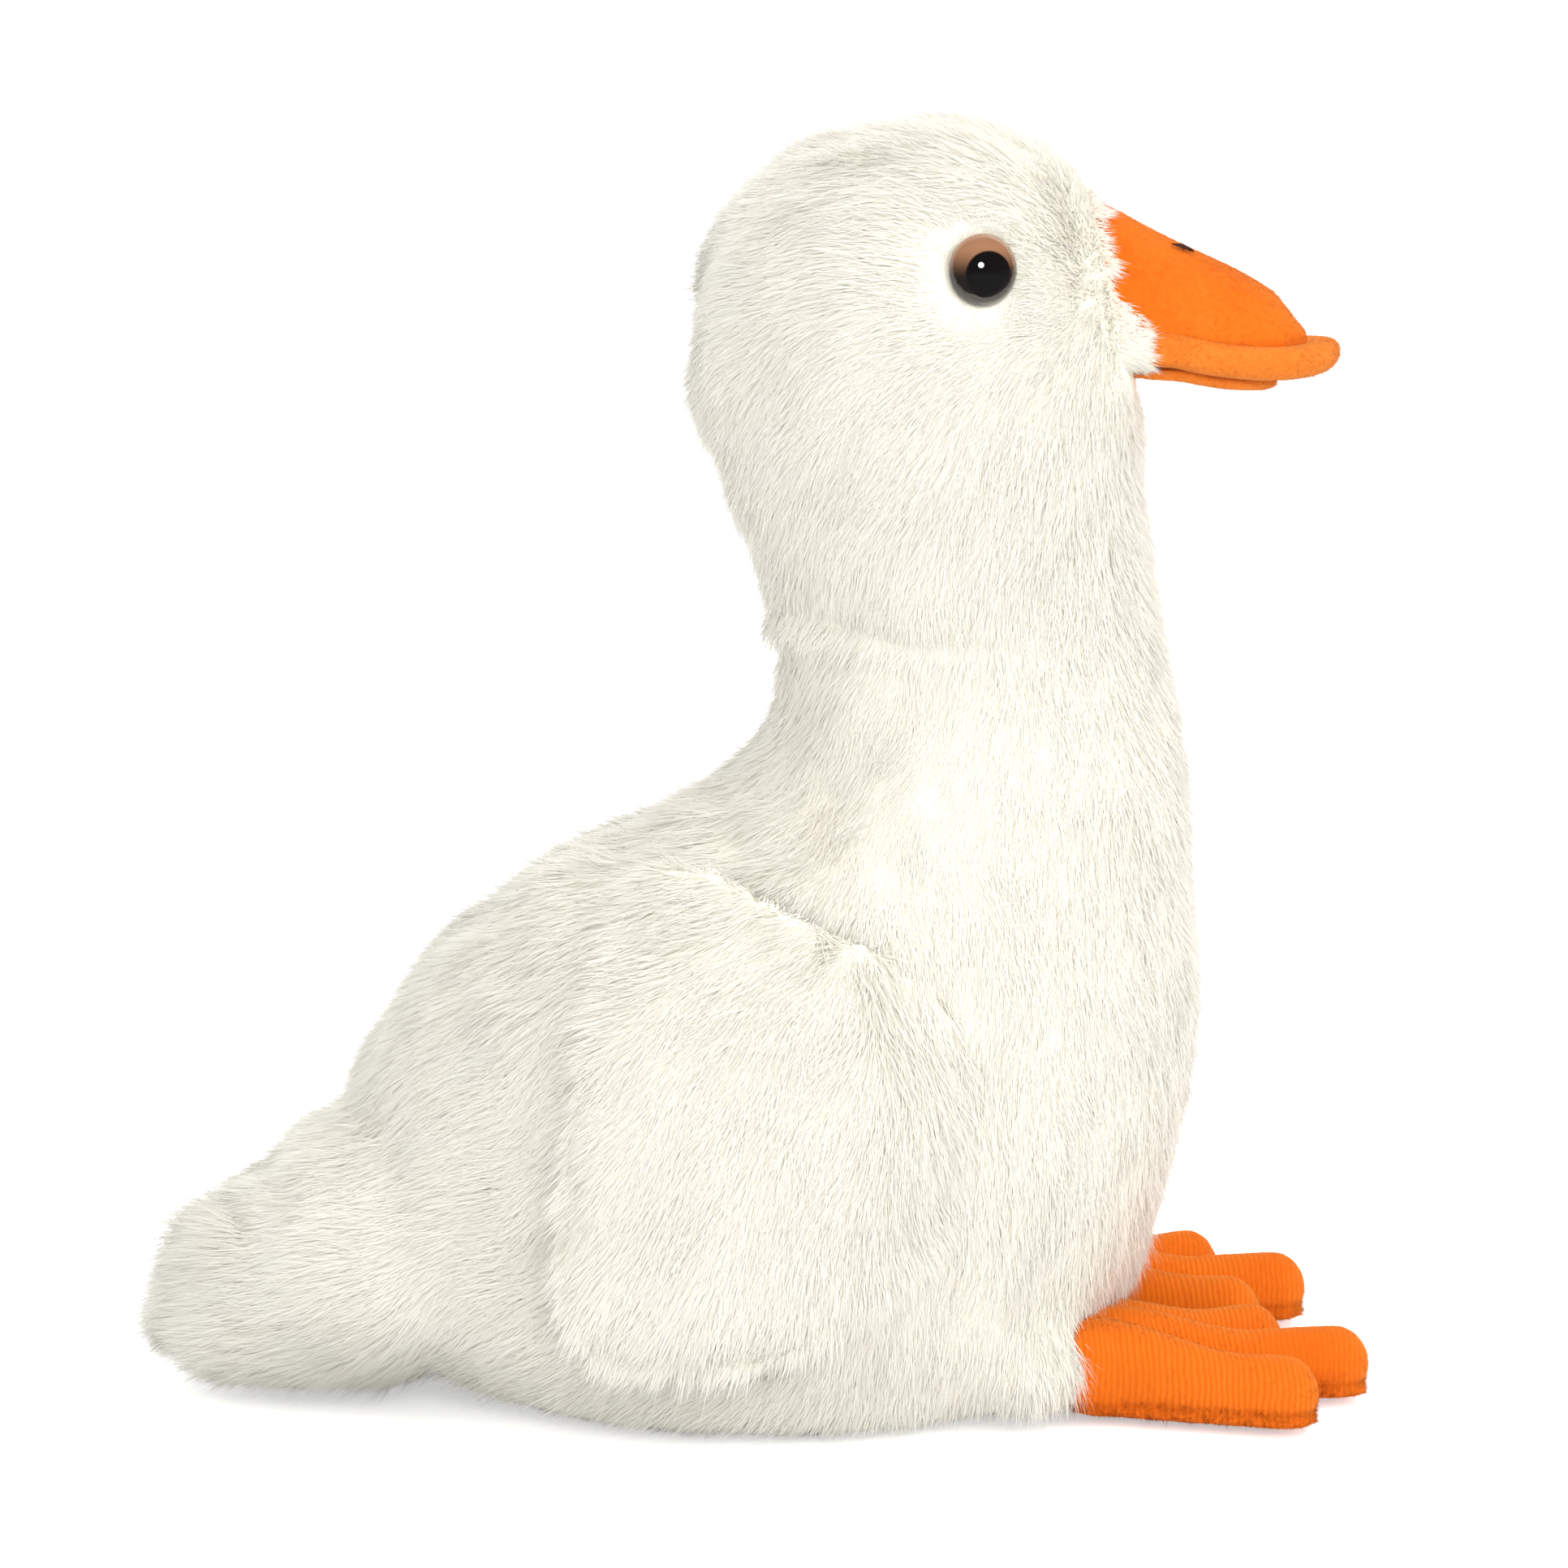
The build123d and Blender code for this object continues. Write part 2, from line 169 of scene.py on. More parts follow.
def ripple(points, size, seed):
    """Smooth noise from -1 to 1 with features of about this size in mm."""
    rng = np.random.default_rng(seed)
    total = np.zeros(len(points))
    for _ in range(6):
        way = unit(rng.normal(size=3)) * rng.uniform(0.6, 1.7) * math.pi / (size * MM)
        total += np.sin(points @ way + rng.uniform(0, 2 * math.pi))
    return total / 3.2


def vectors(x, y, z):
    """(n, 3) array of three parts, each an array or one number."""
    return np.stack(np.broadcast_arrays(x, y, z), axis=1)


def near_segment(points, a, b):
    """Distance from points to a straight segment whose ends are in mm."""
    a, b = np.array(a) * MM, np.array(b) * MM
    along = np.clip((points - a) @ (b - a) / ((b - a) @ (b - a)), 0, 1)
    return norm(points - a - along[:, None] * (b - a))


# ---- materials
WHITE = (1.0, 1.0, 1.0, 1.0)
GROUPS = {}
LOOKS = {}  # the toy's materials by name; the frame's slots have names of their own


def feed(tree, socket, value):
    """Links a socket to another one, or sets its value."""
    if isinstance(value, bpy.types.NodeSocket):
        tree.links.new(value, socket)
    else:
        socket.default_value = value


def add(tree, kind, sockets=None, **values):
    """A new shader node with these settings, its named sockets fed."""
    node = tree.nodes.new(f"ShaderNode{kind}")
    for name, value in values.items():
        setattr(node, name, value)
    for socket, value in (sockets or {}).items():
        feed(tree, node.inputs[socket], value)
    return node.outputs


def mix_colour(tree, factor, a, b):
    return add(tree, "Mix", {"Factor": factor, "A": a, "B": b}, data_type="RGBA")["Result"]


def node_group(name, inputs, outputs):
    """A node group, the sockets it is given and the sockets of its result."""
    group = bpy.data.node_groups.new(name, "ShaderNodeTree")
    for socket, default in inputs.items():
        kind = "NodeSocketColor" if default is WHITE else "NodeSocketFloat"
        group.interface.new_socket(socket, in_out="INPUT", socket_type=kind).default_value = default
    for socket in outputs:
        kind = "NodeSocketFloat" if socket == "Height" else "NodeSocketColor"
        group.interface.new_socket(socket, in_out="OUTPUT", socket_type=kind)
    return group, group.nodes.new("NodeGroupInput").outputs, group.nodes.new("NodeGroupOutput").inputs


def strand_group():
    """Colour of a strand from its own UV: U is the strand's tone, V runs from root to tip."""
    group, given, result = node_group(
        "Strand colour", {"Root": WHITE, "Tip": WHITE, "Dark": WHITE, "Variation": 0.3}, ["Color"])
    place = add(group, "SeparateXYZ", {0: add(group, "UVMap", uv_map="OFBake")["UV"]})
    along = mix_colour(group, place["Y"], given["Root"], given["Tip"])
    share = add(group, "Math", {0: place["X"], 1: given["Variation"]}, operation="MULTIPLY")[0]
    feed(group, result["Color"], mix_colour(group, share, along, given["Dark"]))
    return group


def mottle_group():
    """Two soft noises that mix three colours, for cloth seen between strands."""
    group, given, result = node_group(
        "Mottled cloth", {"Color": WHITE, "Shade": WHITE, "Light": WHITE, "Scale": 120.0}, ["Color", "Height"])
    place = add(group, "TexCoord")["Object"]
    fine = add(group, "TexNoise", {"Vector": place, "Scale": given["Scale"], "Detail": 6.0})["Fac"]
    coarse = add(group, "TexNoise", {"Vector": place, "Scale": 35.0})["Fac"]
    colour = given["Color"]
    for noise, other in ((fine, given["Shade"]), (coarse, given["Light"])):
        band = add(group, "MapRange", {"Value": noise, "From Min": 0.35, "From Max": 0.68})["Result"]
        colour = mix_colour(group, band, colour, other)
    feed(group, result["Color"], colour)
    feed(group, result["Height"], fine)
    return group


def rib_group():
    """Fine knit courses across the velour, with a little wander; each groove is bumped in and coloured darker as
    painted shade.
    """
    group, given, result = node_group(
        "Knit ribs", {"Color": WHITE, "Groove shade": WHITE, "Spacing": RIB}, ["Color", "Height"])
    place = add(group, "TexCoord")["Object"]
    along = add(group, "SeparateXYZ", {0: place})["X"]
    noise = add(group, "TexNoise", {"Vector": place, "Scale": 90.0})["Fac"]
    shifted = add(group, "Math", {0: noise, 1: 2.2 * MM, 2: along}, operation="MULTIPLY_ADD")[0]
    turns = add(group, "Math", {0: shifted, 1: given["Spacing"]}, operation="DIVIDE")[0]
    angle = add(group, "Math", {0: turns, 1: 2 * math.pi}, operation="MULTIPLY")[0]
    wave = add(group, "Math", {0: angle}, operation="SINE")[0]
    level = add(group, "MapRange", {"Value": wave, "From Min": -1.0})["Result"]
    # painted shade: the groove colour where the wave is low
    feed(group, result["Color"], mix_colour(group, level, given["Groove shade"], given["Color"]))
    feed(group, result["Height"], level)
    return group


def shared(maker):
    """The node group that this function makes, made once."""
    if maker not in GROUPS:
        GROUPS[maker] = maker()
    return GROUPS[maker]


def material(name, roughness, **constants):
    """A new material's node tree, and the sockets of its shader with these constants."""
    made = LOOKS[name] = bpy.data.materials.new(f"goose_{name}")
    made.use_nodes = True
    shader = made.node_tree.nodes["Principled BSDF"].inputs
    for socket, value in {"Roughness": roughness, **constants}.items():
        shader[socket.replace("_", " ")].default_value = value
    return made.node_tree, shader


def rgb(r, g, b):
    """Display colour from 0 to 255 to linear light."""
    def linear(v):
        v /= 255
        return v / 12.92 if v <= 0.04045 else ((v + 0.055) / 1.055) ** 2.4
    return (linear(r), linear(g), linear(b), 1.0)


def sheen(weight, *tint):
    """Constants of a short pile that catches light at its edges."""
    return {"Specular_IOR_Level": 0.2, "Sheen_Weight": weight, "Sheen_Tint": rgb(*tint)}


def strand_material(name, root, tip, dark, variation, **constants):
    tree, shader = material(name, 1.0, **constants)
    sockets = {"Root": rgb(*root), "Tip": rgb(*tip), "Dark": rgb(*dark), "Variation": variation}
    feed(tree, shader["Base Color"], add(tree, "Group", sockets, node_tree=shared(strand_group))["Color"])


def cloth_material(name, colour, shade, light, scale, bump, roughness=0.9, ribbed=False, **constants):
    tree, shader = material(name, roughness, **constants)
    sockets = {"Color": rgb(*colour), "Shade": rgb(*shade), "Light": rgb(*light), "Scale": scale}
    look = add(tree, "Group", sockets, node_tree=shared(mottle_group))
    if ribbed:
        # the grooves between the knit's courses take the cloth's darker colour as painted shade
        sockets = {"Color": look["Color"], "Groove shade": rgb(*shade)}
        look = add(tree, "Group", sockets, node_tree=shared(rib_group))
    feed(tree, shader["Base Color"], look["Color"])
    raised = add(tree, "Bump", {"Strength": bump, "Distance": 0.4 * MM, "Height": look["Height"]})
    feed(tree, shader["Normal"], raised["Normal"])


CLOTHS = {  # colour, shade and light as seen, 0 to 255, then the mottling's scale, the bump and the roughness
    # backing: cream cloth under the fur, its colours set a little darker than the strands as painted shade for the
    # shadow that falls among them
    "backing with painted shade": ((243, 239, 226), (234, 229, 214), (248, 245, 234), 420.0, 0.25, 1.0),
    "thread": ((52, 28, 16), (28, 14, 8), (84, 52, 34), 900.0, 0.5, 0.7),
    "pouch weave": ((216, 212, 200), (190, 186, 172), (230, 226, 214), 900.0, 0.5, 0.9),
    "bean pellets": ((232, 232, 226), (196, 196, 190), (246, 246, 242), 260.0, 0.9, 0.5),
    "washer plastic": ((228, 228, 226), (214, 214, 212), (238, 238, 236), 700.0, 0.1, 0.4),
}


def looks():
    """Every material of the toy, made once."""
    if "fur" in LOOKS:
        return LOOKS
    strand_material("fur", (252, 249, 236), (253, 251, 243), (240, 235, 219), 0.22)
    strand_material("nap", (208, 94, 8), (226, 126, 36), (178, 68, 4), 0.6, **sheen(0.35, 255, 190, 110))
    for name, values in CLOTHS.items():
        cloth_material(name, *values)
    cloth_material("velour", (220, 104, 13), (212, 95, 10), (228, 116, 24), 500.0, 0.16, ribbed=True,
                   **sheen(0.4, 255, 180, 90))
    cloth_material("bill velour", (209, 99, 12), (197, 84, 5), (217, 110, 22), 620.0, 0.3,
                   **sheen(0.15, 255, 180, 90))
    cloth_material("rim velour", (200, 95, 18), (166, 72, 8), (218, 122, 42), 1100.0, 0.5,
                   **sheen(0.25, 255, 190, 110))
    eye_material()
    return LOOKS


def eye_material():
    """Polished dome: a black pupil in a brown iris, seen through a clear coat; the iris darkens downwards as
    painted shade, lit brown only at its top.
    """
    tree, shader = material("eye", 0.05, Coat_Weight=1.0, Coat_Roughness=0.02)
    place = add(tree, "SeparateXYZ", {0: add(tree, "TexCoord")["Object"]})
    centre = eye_centre("eye_left")

    def fade(value, low, high):
        sockets = {"Value": value, "From Min": low, "From Max": high}
        return add(tree, "MapRange", sockets, interpolation_type="SMOOTHSTEP")["Result"]

    flat = add(tree, "CombineXYZ", {"X": place["X"], "Z": place["Z"]})[0]
    middle = (centre.x + 0.3 * MM, 0, centre.z - 0.6 * MM)
    reach = add(tree, "VectorMath", {0: flat, 1: middle}, operation="DISTANCE")["Value"]
    # painted light and shade: the iris is brown at its top and fades to near black below, standing in for the light
    # that the dome lets fall on its upper part
    height = fade(place["Z"], centre.z - 1.5 * MM, centre.z + 4.5 * MM)
    iris = mix_colour(tree, height, rgb(26, 20, 17), rgb(150, 108, 80))
    eye = mix_colour(tree, fade(reach, 4.1 * MM, 4.5 * MM), rgb(10, 8, 8), iris)
    feed(tree, shader["Base Color"], eye)


# ---- mesh helpers
def arrays(obj):
    """Vertex places, vertex normals and triangles of an object's mesh."""
    mesh = obj.data
    places = np.empty(len(mesh.vertices) * 3, np.float32)
    mesh.vertices.foreach_get("co", places)
    normals = np.empty(len(mesh.vertices) * 3, np.float32)
    mesh.vertex_normals.foreach_get("vector", normals)
    mesh.calc_loop_triangles()
    corners = np.empty(len(mesh.loop_triangles) * 3, np.int32)
    mesh.loop_triangles.foreach_get("vertices", corners)
    return places.reshape(-1, 3).astype(float), normals.reshape(-1, 3).astype(float), corners.reshape(-1, 3)


def move_to(obj, places):
    obj.data.vertices.foreach_set("co", places.astype(np.float32).ravel())
    obj.data.update()


def displaced(obj, way):
    """Moves every point by way(places, normals)."""
    places, normals, _ = arrays(obj)
    move_to(obj, places + way(places, normals))


def drawn_in(obj, depth):
    """Moves a skin inwards along its normals; depth may be one value per vertex."""
    displaced(obj, lambda p, n: -n * np.broadcast_to(depth, len(p))[:, None])


def shaded_smooth(mesh):
    mesh.polygons.foreach_set("use_smooth", np.ones(len(mesh.polygons), dtype=bool))


def placed(name, data):
    """A new object in the scene."""
    made = bpy.data.objects.new(name, data)
    bpy.context.scene.collection.objects.link(made)
    return made


def mesh_object(name, places, faces):
    mesh = bpy.data.meshes.new(name)
    mesh.vertices.add(len(places))
    mesh.vertices.foreach_set("co", places.astype(np.float32).ravel())
    mesh.loops.add(faces.size)
    mesh.loops.foreach_set("vertex_index", faces.astype(np.int32).ravel())
    mesh.polygons.add(len(faces))
    mesh.polygons.foreach_set("loop_start", np.arange(0, faces.size, faces.shape[1], dtype=np.int32))
    shaded_smooth(mesh)
    mesh.update(calc_edges=True)
    return placed(name, mesh)


def copy_of(name, *nodes):
    """One new object holding copies of CAD nodes' meshes."""
    vertices, faces, base = [], [], 0
    for node in nodes:
        places, _, corners = arrays(frame["nodes"][node])
        vertices.append(places)
        faces.append(corners + base)
        base += len(places)
    return mesh_object(name, np.vstack(vertices), np.vstack(faces))


def applied(obj):
    """Replaces the object's mesh by what its modifiers make of it."""
    bpy.context.view_layer.update()
    graph = bpy.context.evaluated_depsgraph_get()
    mesh = bpy.data.meshes.new_from_object(obj.evaluated_get(graph))
    obj.modifiers.clear()
    obj.data = mesh
    shaded_smooth(mesh)


def modified(obj, **modifiers):
    """Adds modifiers by kind, each with its settings, and applies them."""
    for kind, values in modifiers.items():
        modifier = obj.modifiers.new(kind.lower(), kind)
        for name, value in values.items():
            setattr(modifier, name, value)
    applied(obj)


def remeshed(obj, voxel, rounds):
    """Closes the copied solids into one skin and evens it out."""
    modified(obj, REMESH={"mode": "VOXEL", "voxel_size": voxel}, SMOOTH={"factor": 0.5, "iterations": rounds})


def divided(obj):
    modified(obj, SUBSURF={"levels": 1, "render_levels": 1})


def puffed(obj, sewn, cap):
    """Swells a skin with cloth pressure; sewn is a 0 to 1 hold per vertex, and no point moves further than cap."""
    if settings().puff == 0:
        return
    hold = obj.vertex_groups.new(name="sewn")
    sewn = np.round(sewn, 1)
    for level in np.unique(sewn[sewn > 0]):
        hold.add(np.nonzero(sewn == level)[0].tolist(), float(level), "REPLACE")
    before, _, _ = arrays(obj)
    cloth = obj.modifiers.new("puff", "CLOTH").settings
    cloth.quality = 4
    cloth.mass = 0.25
    cloth.use_pressure = True
    cloth.uniform_pressure_force = settings().puff
    cloth.effector_weights.gravity = 0
    cloth.vertex_group_mass = "sewn"
    cloth.tension_stiffness = cloth.compression_stiffness = 12
    for step in range(1, CLOTH_STEPS + 1):
        bpy.context.scene.frame_set(step)
    applied(obj)
    after, _, _ = arrays(obj)
    move = after - before
    move_to(obj, before + move * np.minimum(1, cap / np.maximum(norm(move), 1e-9))[:, None])
    bpy.context.scene.frame_set(1)
    obj.vertex_groups.clear()


def reworked(mesh, change):
    """Runs a change on the mesh as a bmesh."""
    work = bmesh.new()
    work.from_mesh(mesh)
    change(work)
    work.to_mesh(mesh)
    work.free()


def cut_away(obj, point, normal):
    """Cuts off what lies on the normal's side of a plane and closes the cut."""
    def cut(work):
        every = work.verts[:] + work.edges[:] + work.faces[:]
        made = bmesh.ops.bisect_plane(work, geom=every, plane_co=point, plane_no=normal, clear_outer=True)
        edges = [e for e in made["geom_cut"] if isinstance(e, bmesh.types.BMEdge)]
        bmesh.ops.holes_fill(work, edges=edges)
        bmesh.ops.triangulate(work, faces=[f for f in work.faces if len(f.verts) > 4])
        bmesh.ops.recalc_face_normals(work, faces=work.faces[:])
    reworked(obj.data, cut)


def join(obj, other):
    """Adds the other object's mesh to the first, and removes the other."""
    reworked(obj.data, lambda work: work.from_mesh(other.data))
    bpy.data.objects.remove(other)


def ellipsoid(centre, radii):
    """A round filler for a remesh, in mm."""
    def shape(work):
        bmesh.ops.create_icosphere(work, subdivisions=4, radius=MM)
        bmesh.ops.scale(work, vec=radii, verts=work.verts)
        bmesh.ops.translate(work, vec=Vector(centre) * MM, verts=work.verts)
    mesh = bpy.data.meshes.new("filler")
    reworked(mesh, shape)
    return placed("filler", mesh)


def finish_piece(obj, look):
    obj.data.materials.clear()
    obj.data.materials.append(looks()[look])
    return obj


def tree_of(obj):
    places, _, corners = arrays(obj)
    return BVHTree.FromPolygons(places.tolist(), corners.tolist())


TREES = {}


def surface_gap(node, points):
    """Distance from points to a CAD node's surface."""
    if node not in TREES:
        TREES[node] = tree_of(frame["nodes"][node])
    return np.array([TREES[node].find_nearest(Vector(p))[3] for p in points])


def wing_gap(points):
    return np.minimum(*(surface_gap(f"wing_cover_{side}", points) for side in SIDES))


# ---- fur
class Coat:
    """How one stretch of pile grows; functions take (n, 3) places, and length, comb and keep normals too."""
    keep = tone = None
    lift = 19.0  # degrees that a tuft stands up from the skin, or a function
    clump, pull = 2.2 * MM, 0.18  # radius of a tuft's root, and how far its tips gather
    width, per = 0.26 * MM, 9  # of a strand, and strands in a tuft
    stray, spread = 0.06, 0.17  # share of strands that stand out, and radians that strands veer
    look = slot = "fur"

    def __init__(self, length, comb, **given):
        self.length, self.comb = length, comb
        self.__dict__.update(given)


def scatter(skin, count, rng, keep):
    """Places and normals at random over a skin, by area and by the keep share."""
    places, normals, corners = skin
    a, b, c = (places[corners[:, i]] for i in range(3))
    weight = norm(np.cross(b - a, c - a))
    if keep is not None:
        weight = weight * keep((a + b + c) / 3, unit(normals[corners].sum(axis=1)))
    shares = np.cumsum(weight) / weight.sum()
    pick = np.minimum(np.searchsorted(shares, (np.arange(count) + rng.random(count)) / count), len(corners) - 1)
    root, side = np.sqrt(rng.random(count)), rng.random(count)
    share = np.stack([1 - root, root * (1 - side), root * side], axis=1)[:, :, None]
    point = (places[corners[pick]] * share).sum(axis=1)
    normal = unit((normals[corners[pick]] * share).sum(axis=1))
    return point, normal


def turned(a, b, angle):
    """Directions turned from a towards b by an angle each."""
    return a * np.cos(angle)[:, None] + b * np.sin(angle)[:, None]


def grow(name, skin, strands, coat, seed, blockers=()):
    """Tufts of fine tapered strands on a skin, combed along coat.comb, as one mesh of narrow two-sided roofs."""
    rng = np.random.default_rng(seed + settings().seed)
    tufts = max(8, int(strands * settings().density / coat.per))
    centre, normal = scatter(skin, tufts, rng, coat.keep)
    flow = coat.comb(centre, normal)
    flow = unit(flow - normal * dot(flow, normal) + 1e-6)
    side = np.cross(normal, flow)
    swirl = np.radians(13 * ripple(centre, 30, seed) + 11 * ripple(centre, 9, seed + 1))
    swirl += rng.normal(0, 0.1, tufts)
    flow = turned(flow, side, swirl)
    side = np.cross(normal, flow)
    stand = coat.lift(centre) if callable(coat.lift) else coat.lift
    lift = np.radians(stand + 5 * ripple(centre, 12, seed + 2) + rng.normal(0, 3, tufts))
    uneven = 1 + 0.1 * ripple(centre, 9, seed + 3) + rng.normal(0, 0.06, tufts)
    long = coat.length(centre, normal) * uneven
    tuft_tone = np.clip(0.4 + 0.3 * ripple(centre, 6, seed + 4) + rng.normal(0, 0.12, tufts), 0, 1)
    if coat.tone is not None:
        tuft_tone = np.clip(tuft_tone + coat.tone(centre), 0, 1)
    if blockers:
        long = long * clearance(centre, normal, long, blockers)

    which = np.repeat(np.arange(tufts), coat.per)
    count = len(which)
    spin, out = rng.random(count) * 2 * math.pi, np.sqrt(rng.random(count)) * coat.clump
    offset = flow[which] * (np.cos(spin) * out)[:, None] + side[which] * (np.sin(spin) * out)[:, None]
    base = centre[which] + offset - normal[which] * (0.3 * MM + out[:, None] ** 2 / (60 * MM))
    stretch = long[which] * rng.uniform(0.7, 1.1, count)
    stretch *= 1 + (rng.random(count) < coat.stray) * rng.uniform(0.1, 0.5, count)
    rise = lift[which] + rng.normal(0, 0.09, count) + (rng.random(count) < coat.stray) * 0.4
    veer = rng.normal(0, coat.spread, count)
    ahead = turned(flow[which], side[which], veer)
    up = normal[which]
    tip_way = turned(ahead, up, rise)
    tip = base + tip_way * stretch[:, None]
    tuft_tip = centre + turned(flow, normal, lift) * long[:, None]
    gather = coat.pull * rng.uniform(0.4, 1.0, count)[:, None]
    drawn = tuft_tip[which] + tip_way * (stretch - long[which])[:, None] + offset * 0.3
    tip = tip * (1 - gather) + drawn * gather

    across = unit(turned(np.cross(ahead, up), up, rng.normal(0, 0.3, count)))
    ridge = unit(np.cross(across, ahead))
    ridge = ridge * np.sign(dot(ridge, up) + 1e-9)
    wide = (coat.width * rng.uniform(0.7, 1.2, count) / 2)[:, None]
    places = np.stack([base + across * wide, base + ridge * wide, base - across * wide, tip], axis=1).reshape(-1, 3)
    places[:, 2] = np.maximum(places[:, 2], FLOOR_GAP)
    faces = (np.arange(count)[:, None, None] * 4 + np.array([[0, 3, 1], [2, 1, 3]])).reshape(-1, 3)
    piece = mesh_object(name, places, faces)
    strand_uv(piece.data, np.clip(tuft_tone[which] + rng.normal(0, 0.1, count), 0.02, 0.98))
    shade = unit(up * 0.9 + ridge * 0.07 + tip_way * 0.1)
    piece.data.normals_split_custom_set_from_vertices(np.repeat(shade, 4, axis=0))
    return finish_piece(piece, coat.look)


def strand_uv(mesh, tone):
    """The map that strands take their colour from: tone across, root to tip upwards."""
    layer = mesh.uv_layers.new(name="OFBake")
    u = tone[:, None] + np.array([-0.006, 0.0, 0.0, 0.006, 0.0, 0.0])
    v = np.tile([0.03, 0.97, 0.03, 0.03, 0.03, 0.97], len(tone))
    layer.data.foreach_set("uv", np.stack([u.ravel(), v], axis=1).astype(np.float32).ravel())


def clearance(points, normals, lengths, blockers):
    """Share of its length that pile may have before it meets another piece."""
    share = np.ones(len(points))
    for tree in blockers:
        for i, (point, normal, reach) in enumerate(zip(points, normals, lengths)):
            hit = tree.ray_cast(Vector(point), Vector(normal), float(reach) * 1.3)
            if hit[0] is not None:
                share[i] = min(share[i], max(0.25, hit[3] / (float(reach) * 1.1)))
    return share


def split_coats(skin, strands, coat, seed, parts, blockers=()):
    """Grows several pieces on one skin, each keeping to its own region."""
    made = []
    base_keep = coat.keep
    for i, (part, region) in enumerate(parts.items()):
        coat.keep = (lambda p, n, r=region: r(p) * base_keep(p, n))
        made.append(grow(f"fur_{part}", skin, strands, coat, seed + 10 * i, blockers))
    coat.keep = base_keep
    return made


def halves(part, low=-math.inf, high=math.inf):
    """Regions of the left and of the right half of a stretch along X."""
    return {f"{part}_{side}": lambda p, left=side == "left": (
        ((p[:, 1] > 0) == left) & (p[:, 0] > low) & (p[:, 0] <= high)) for side in SIDES}


# ---- body, neck and head
def body_nodes(body):
    return frame["record"]["behaviour"]["bodies"][body]


def eye_centre(node):
    """Middle of the eye's front, where its axis meets the fur."""
    low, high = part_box(node)
    outer = high.y if high.y > 0 else low.y
    places, _, _ = arrays(frame["nodes"][node])
    front = places[np.abs(places[:, 1]) > abs(outer) - 1.0 * MM]
    return Vector(front.mean(axis=0))


def eye_gap(points):
    """Distance to the nearer eye's centre."""
    return np.minimum(*(norm(points - np.array(eye_centre(node))) for node in EYE_NODES))


def near_bill(points):
    """0 where the bill is sewn in, so that the cover reaches it, and 1 away from it."""
    gap = norm((points - [0.078, 0, 0.214]) * [0.7, 1, 0.9])
    return ramp(gap, 17, 27)


def bill_gap(points):
    """Distance outside the bill's root, 0 under it."""
    x, y, z = points.T
    low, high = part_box("upper_bill_cover")
    over = np.maximum(z - BILL_ROOT[2], 0) / (high.z - BILL_ROOT[2])
    under = np.maximum(200 * MM - z, 0) / (5 * MM)
    out = np.sqrt((y / ((high.y - low.y) / 2)) ** 2 + over**2 + under**2) - 1
    return np.where(x > 50 * MM, np.maximum(0, out) * 17 * MM, 1.0)


def seam_height(x):
    return NECK_SEAM + (x - NECK.x) * NECK_SEAM_SLOPE


def ragged_seam(points):
    """Height over the neck's seam, with a wandering edge so that the pile of both sides mingles."""
    front = ramp(points[:, 0], 15, 50)
    edge = (2.0 + 5 * front) * MM * ripple(points, 7, 41)
    edge += (1.6 + 4 * front) * MM * ripple(points, 2.5, 42)
    return points[:, 2] - seam_height(points[:, 0]) - edge


def whole_skin():
    """One smooth skin over torso, tail, neck and head, drawn in to the pile's base and folded at the seams."""
    nodes = [n for body in ("torso", "neck", "head") for n in body_nodes(body) if n.startswith(
        ("body_", "belly", "neck", "head_", "bean"))]
    skin = copy_of("skin", *nodes)
    tail = copy_of("tail", *body_nodes("tail"))
    displaced(tail, lambda p, n: np.array([1.5 * MM, 0, 0]))
    join(skin, tail)
    for (x, y, z), radii in FILLERS:
        for sign in (1, -1) if y else (1,):
            join(skin, ellipsoid((x, y * sign, z), radii))
    remeshed(skin, 3.2 * MM, 5)
    places, _, _ = arrays(skin)
    floor = ramp(places[:, 2], 2, 12)
    depth = 1.0 * MM + (FUR_INSET - 1.0 * MM) * floor + 0.4 * MM * (1 - near_bill(places))
    depth = np.minimum(depth, 1 * MM + 0.16 * np.maximum(0, places[:, 0] - CAD_BOX[0][0] + 4 * MM))
    drawn_in(skin, depth)
    places, _, _ = arrays(skin)
    seam = np.abs(places[:, 2] - seam_height(places[:, 0]))
    middle = np.abs(places[:, 1])
    sewn = (ramp(seam, 5, 1), 0.6 * ramp(middle, 5, 1), ramp(places[:, 2], 8, 1), ramp(eye_gap(places), 15, 9))
    puffed(skin, np.maximum.reduce(sewn), 2.0 * MM)
    divided(skin)
    fold(skin)
    return skin


def fold(skin):
    """Creases that the stuffing presses into the cover, and the pile's ruffles."""
    places, _, _ = arrays(skin)
    x, y, z = places.T
    wave = 2.4 * MM * ripple(places, 26, 31)
    seam = z - seam_height(x) - wave
    lower = seam + 7.5 * MM + 1.5 * wave
    nape = ramp(x, 60, 18)
    depth = 1.7 * MM * bell(seam, 2.2 * MM) * nape
    depth += 1.0 * MM * bell(lower, 2.4 * MM) * nape
    depth -= 0.8 * MM * bell(seam + 4 * MM, 4 * MM) * nape
    mirrored = vectors(x, np.abs(y), z)
    for start, end, deep, wide in CREASES:
        gap = near_segment(mirrored, start, end) + 0.8 * MM * ripple(places, 9, 35)
        depth += deep * MM * bell(gap, wide * MM)
    behind = ramp(x, 25, 0)
    depth += 3.0 * MM * bell(wing_gap(places) - 3 * MM, 5 * MM) * behind
    free = ramp(z, 8, 25) * near_bill(places) * ramp(eye_gap(places), 8, 18)
    back = ramp(x, 50, -10)
    long = places * [1, 1, 0.6]  # makes the ruffles longer upwards than along
    depth += (0.5 + 0.9 * back) * MM * ripple(places, 30, 33) * free
    depth += (0.22 + 0.7 * back) * MM * ripple(long, 9, 34) * free
    depth += (0.1 + 0.2 * back) * MM * ripple(long, 4.5, 36) * free
    drawn_in(skin, depth)


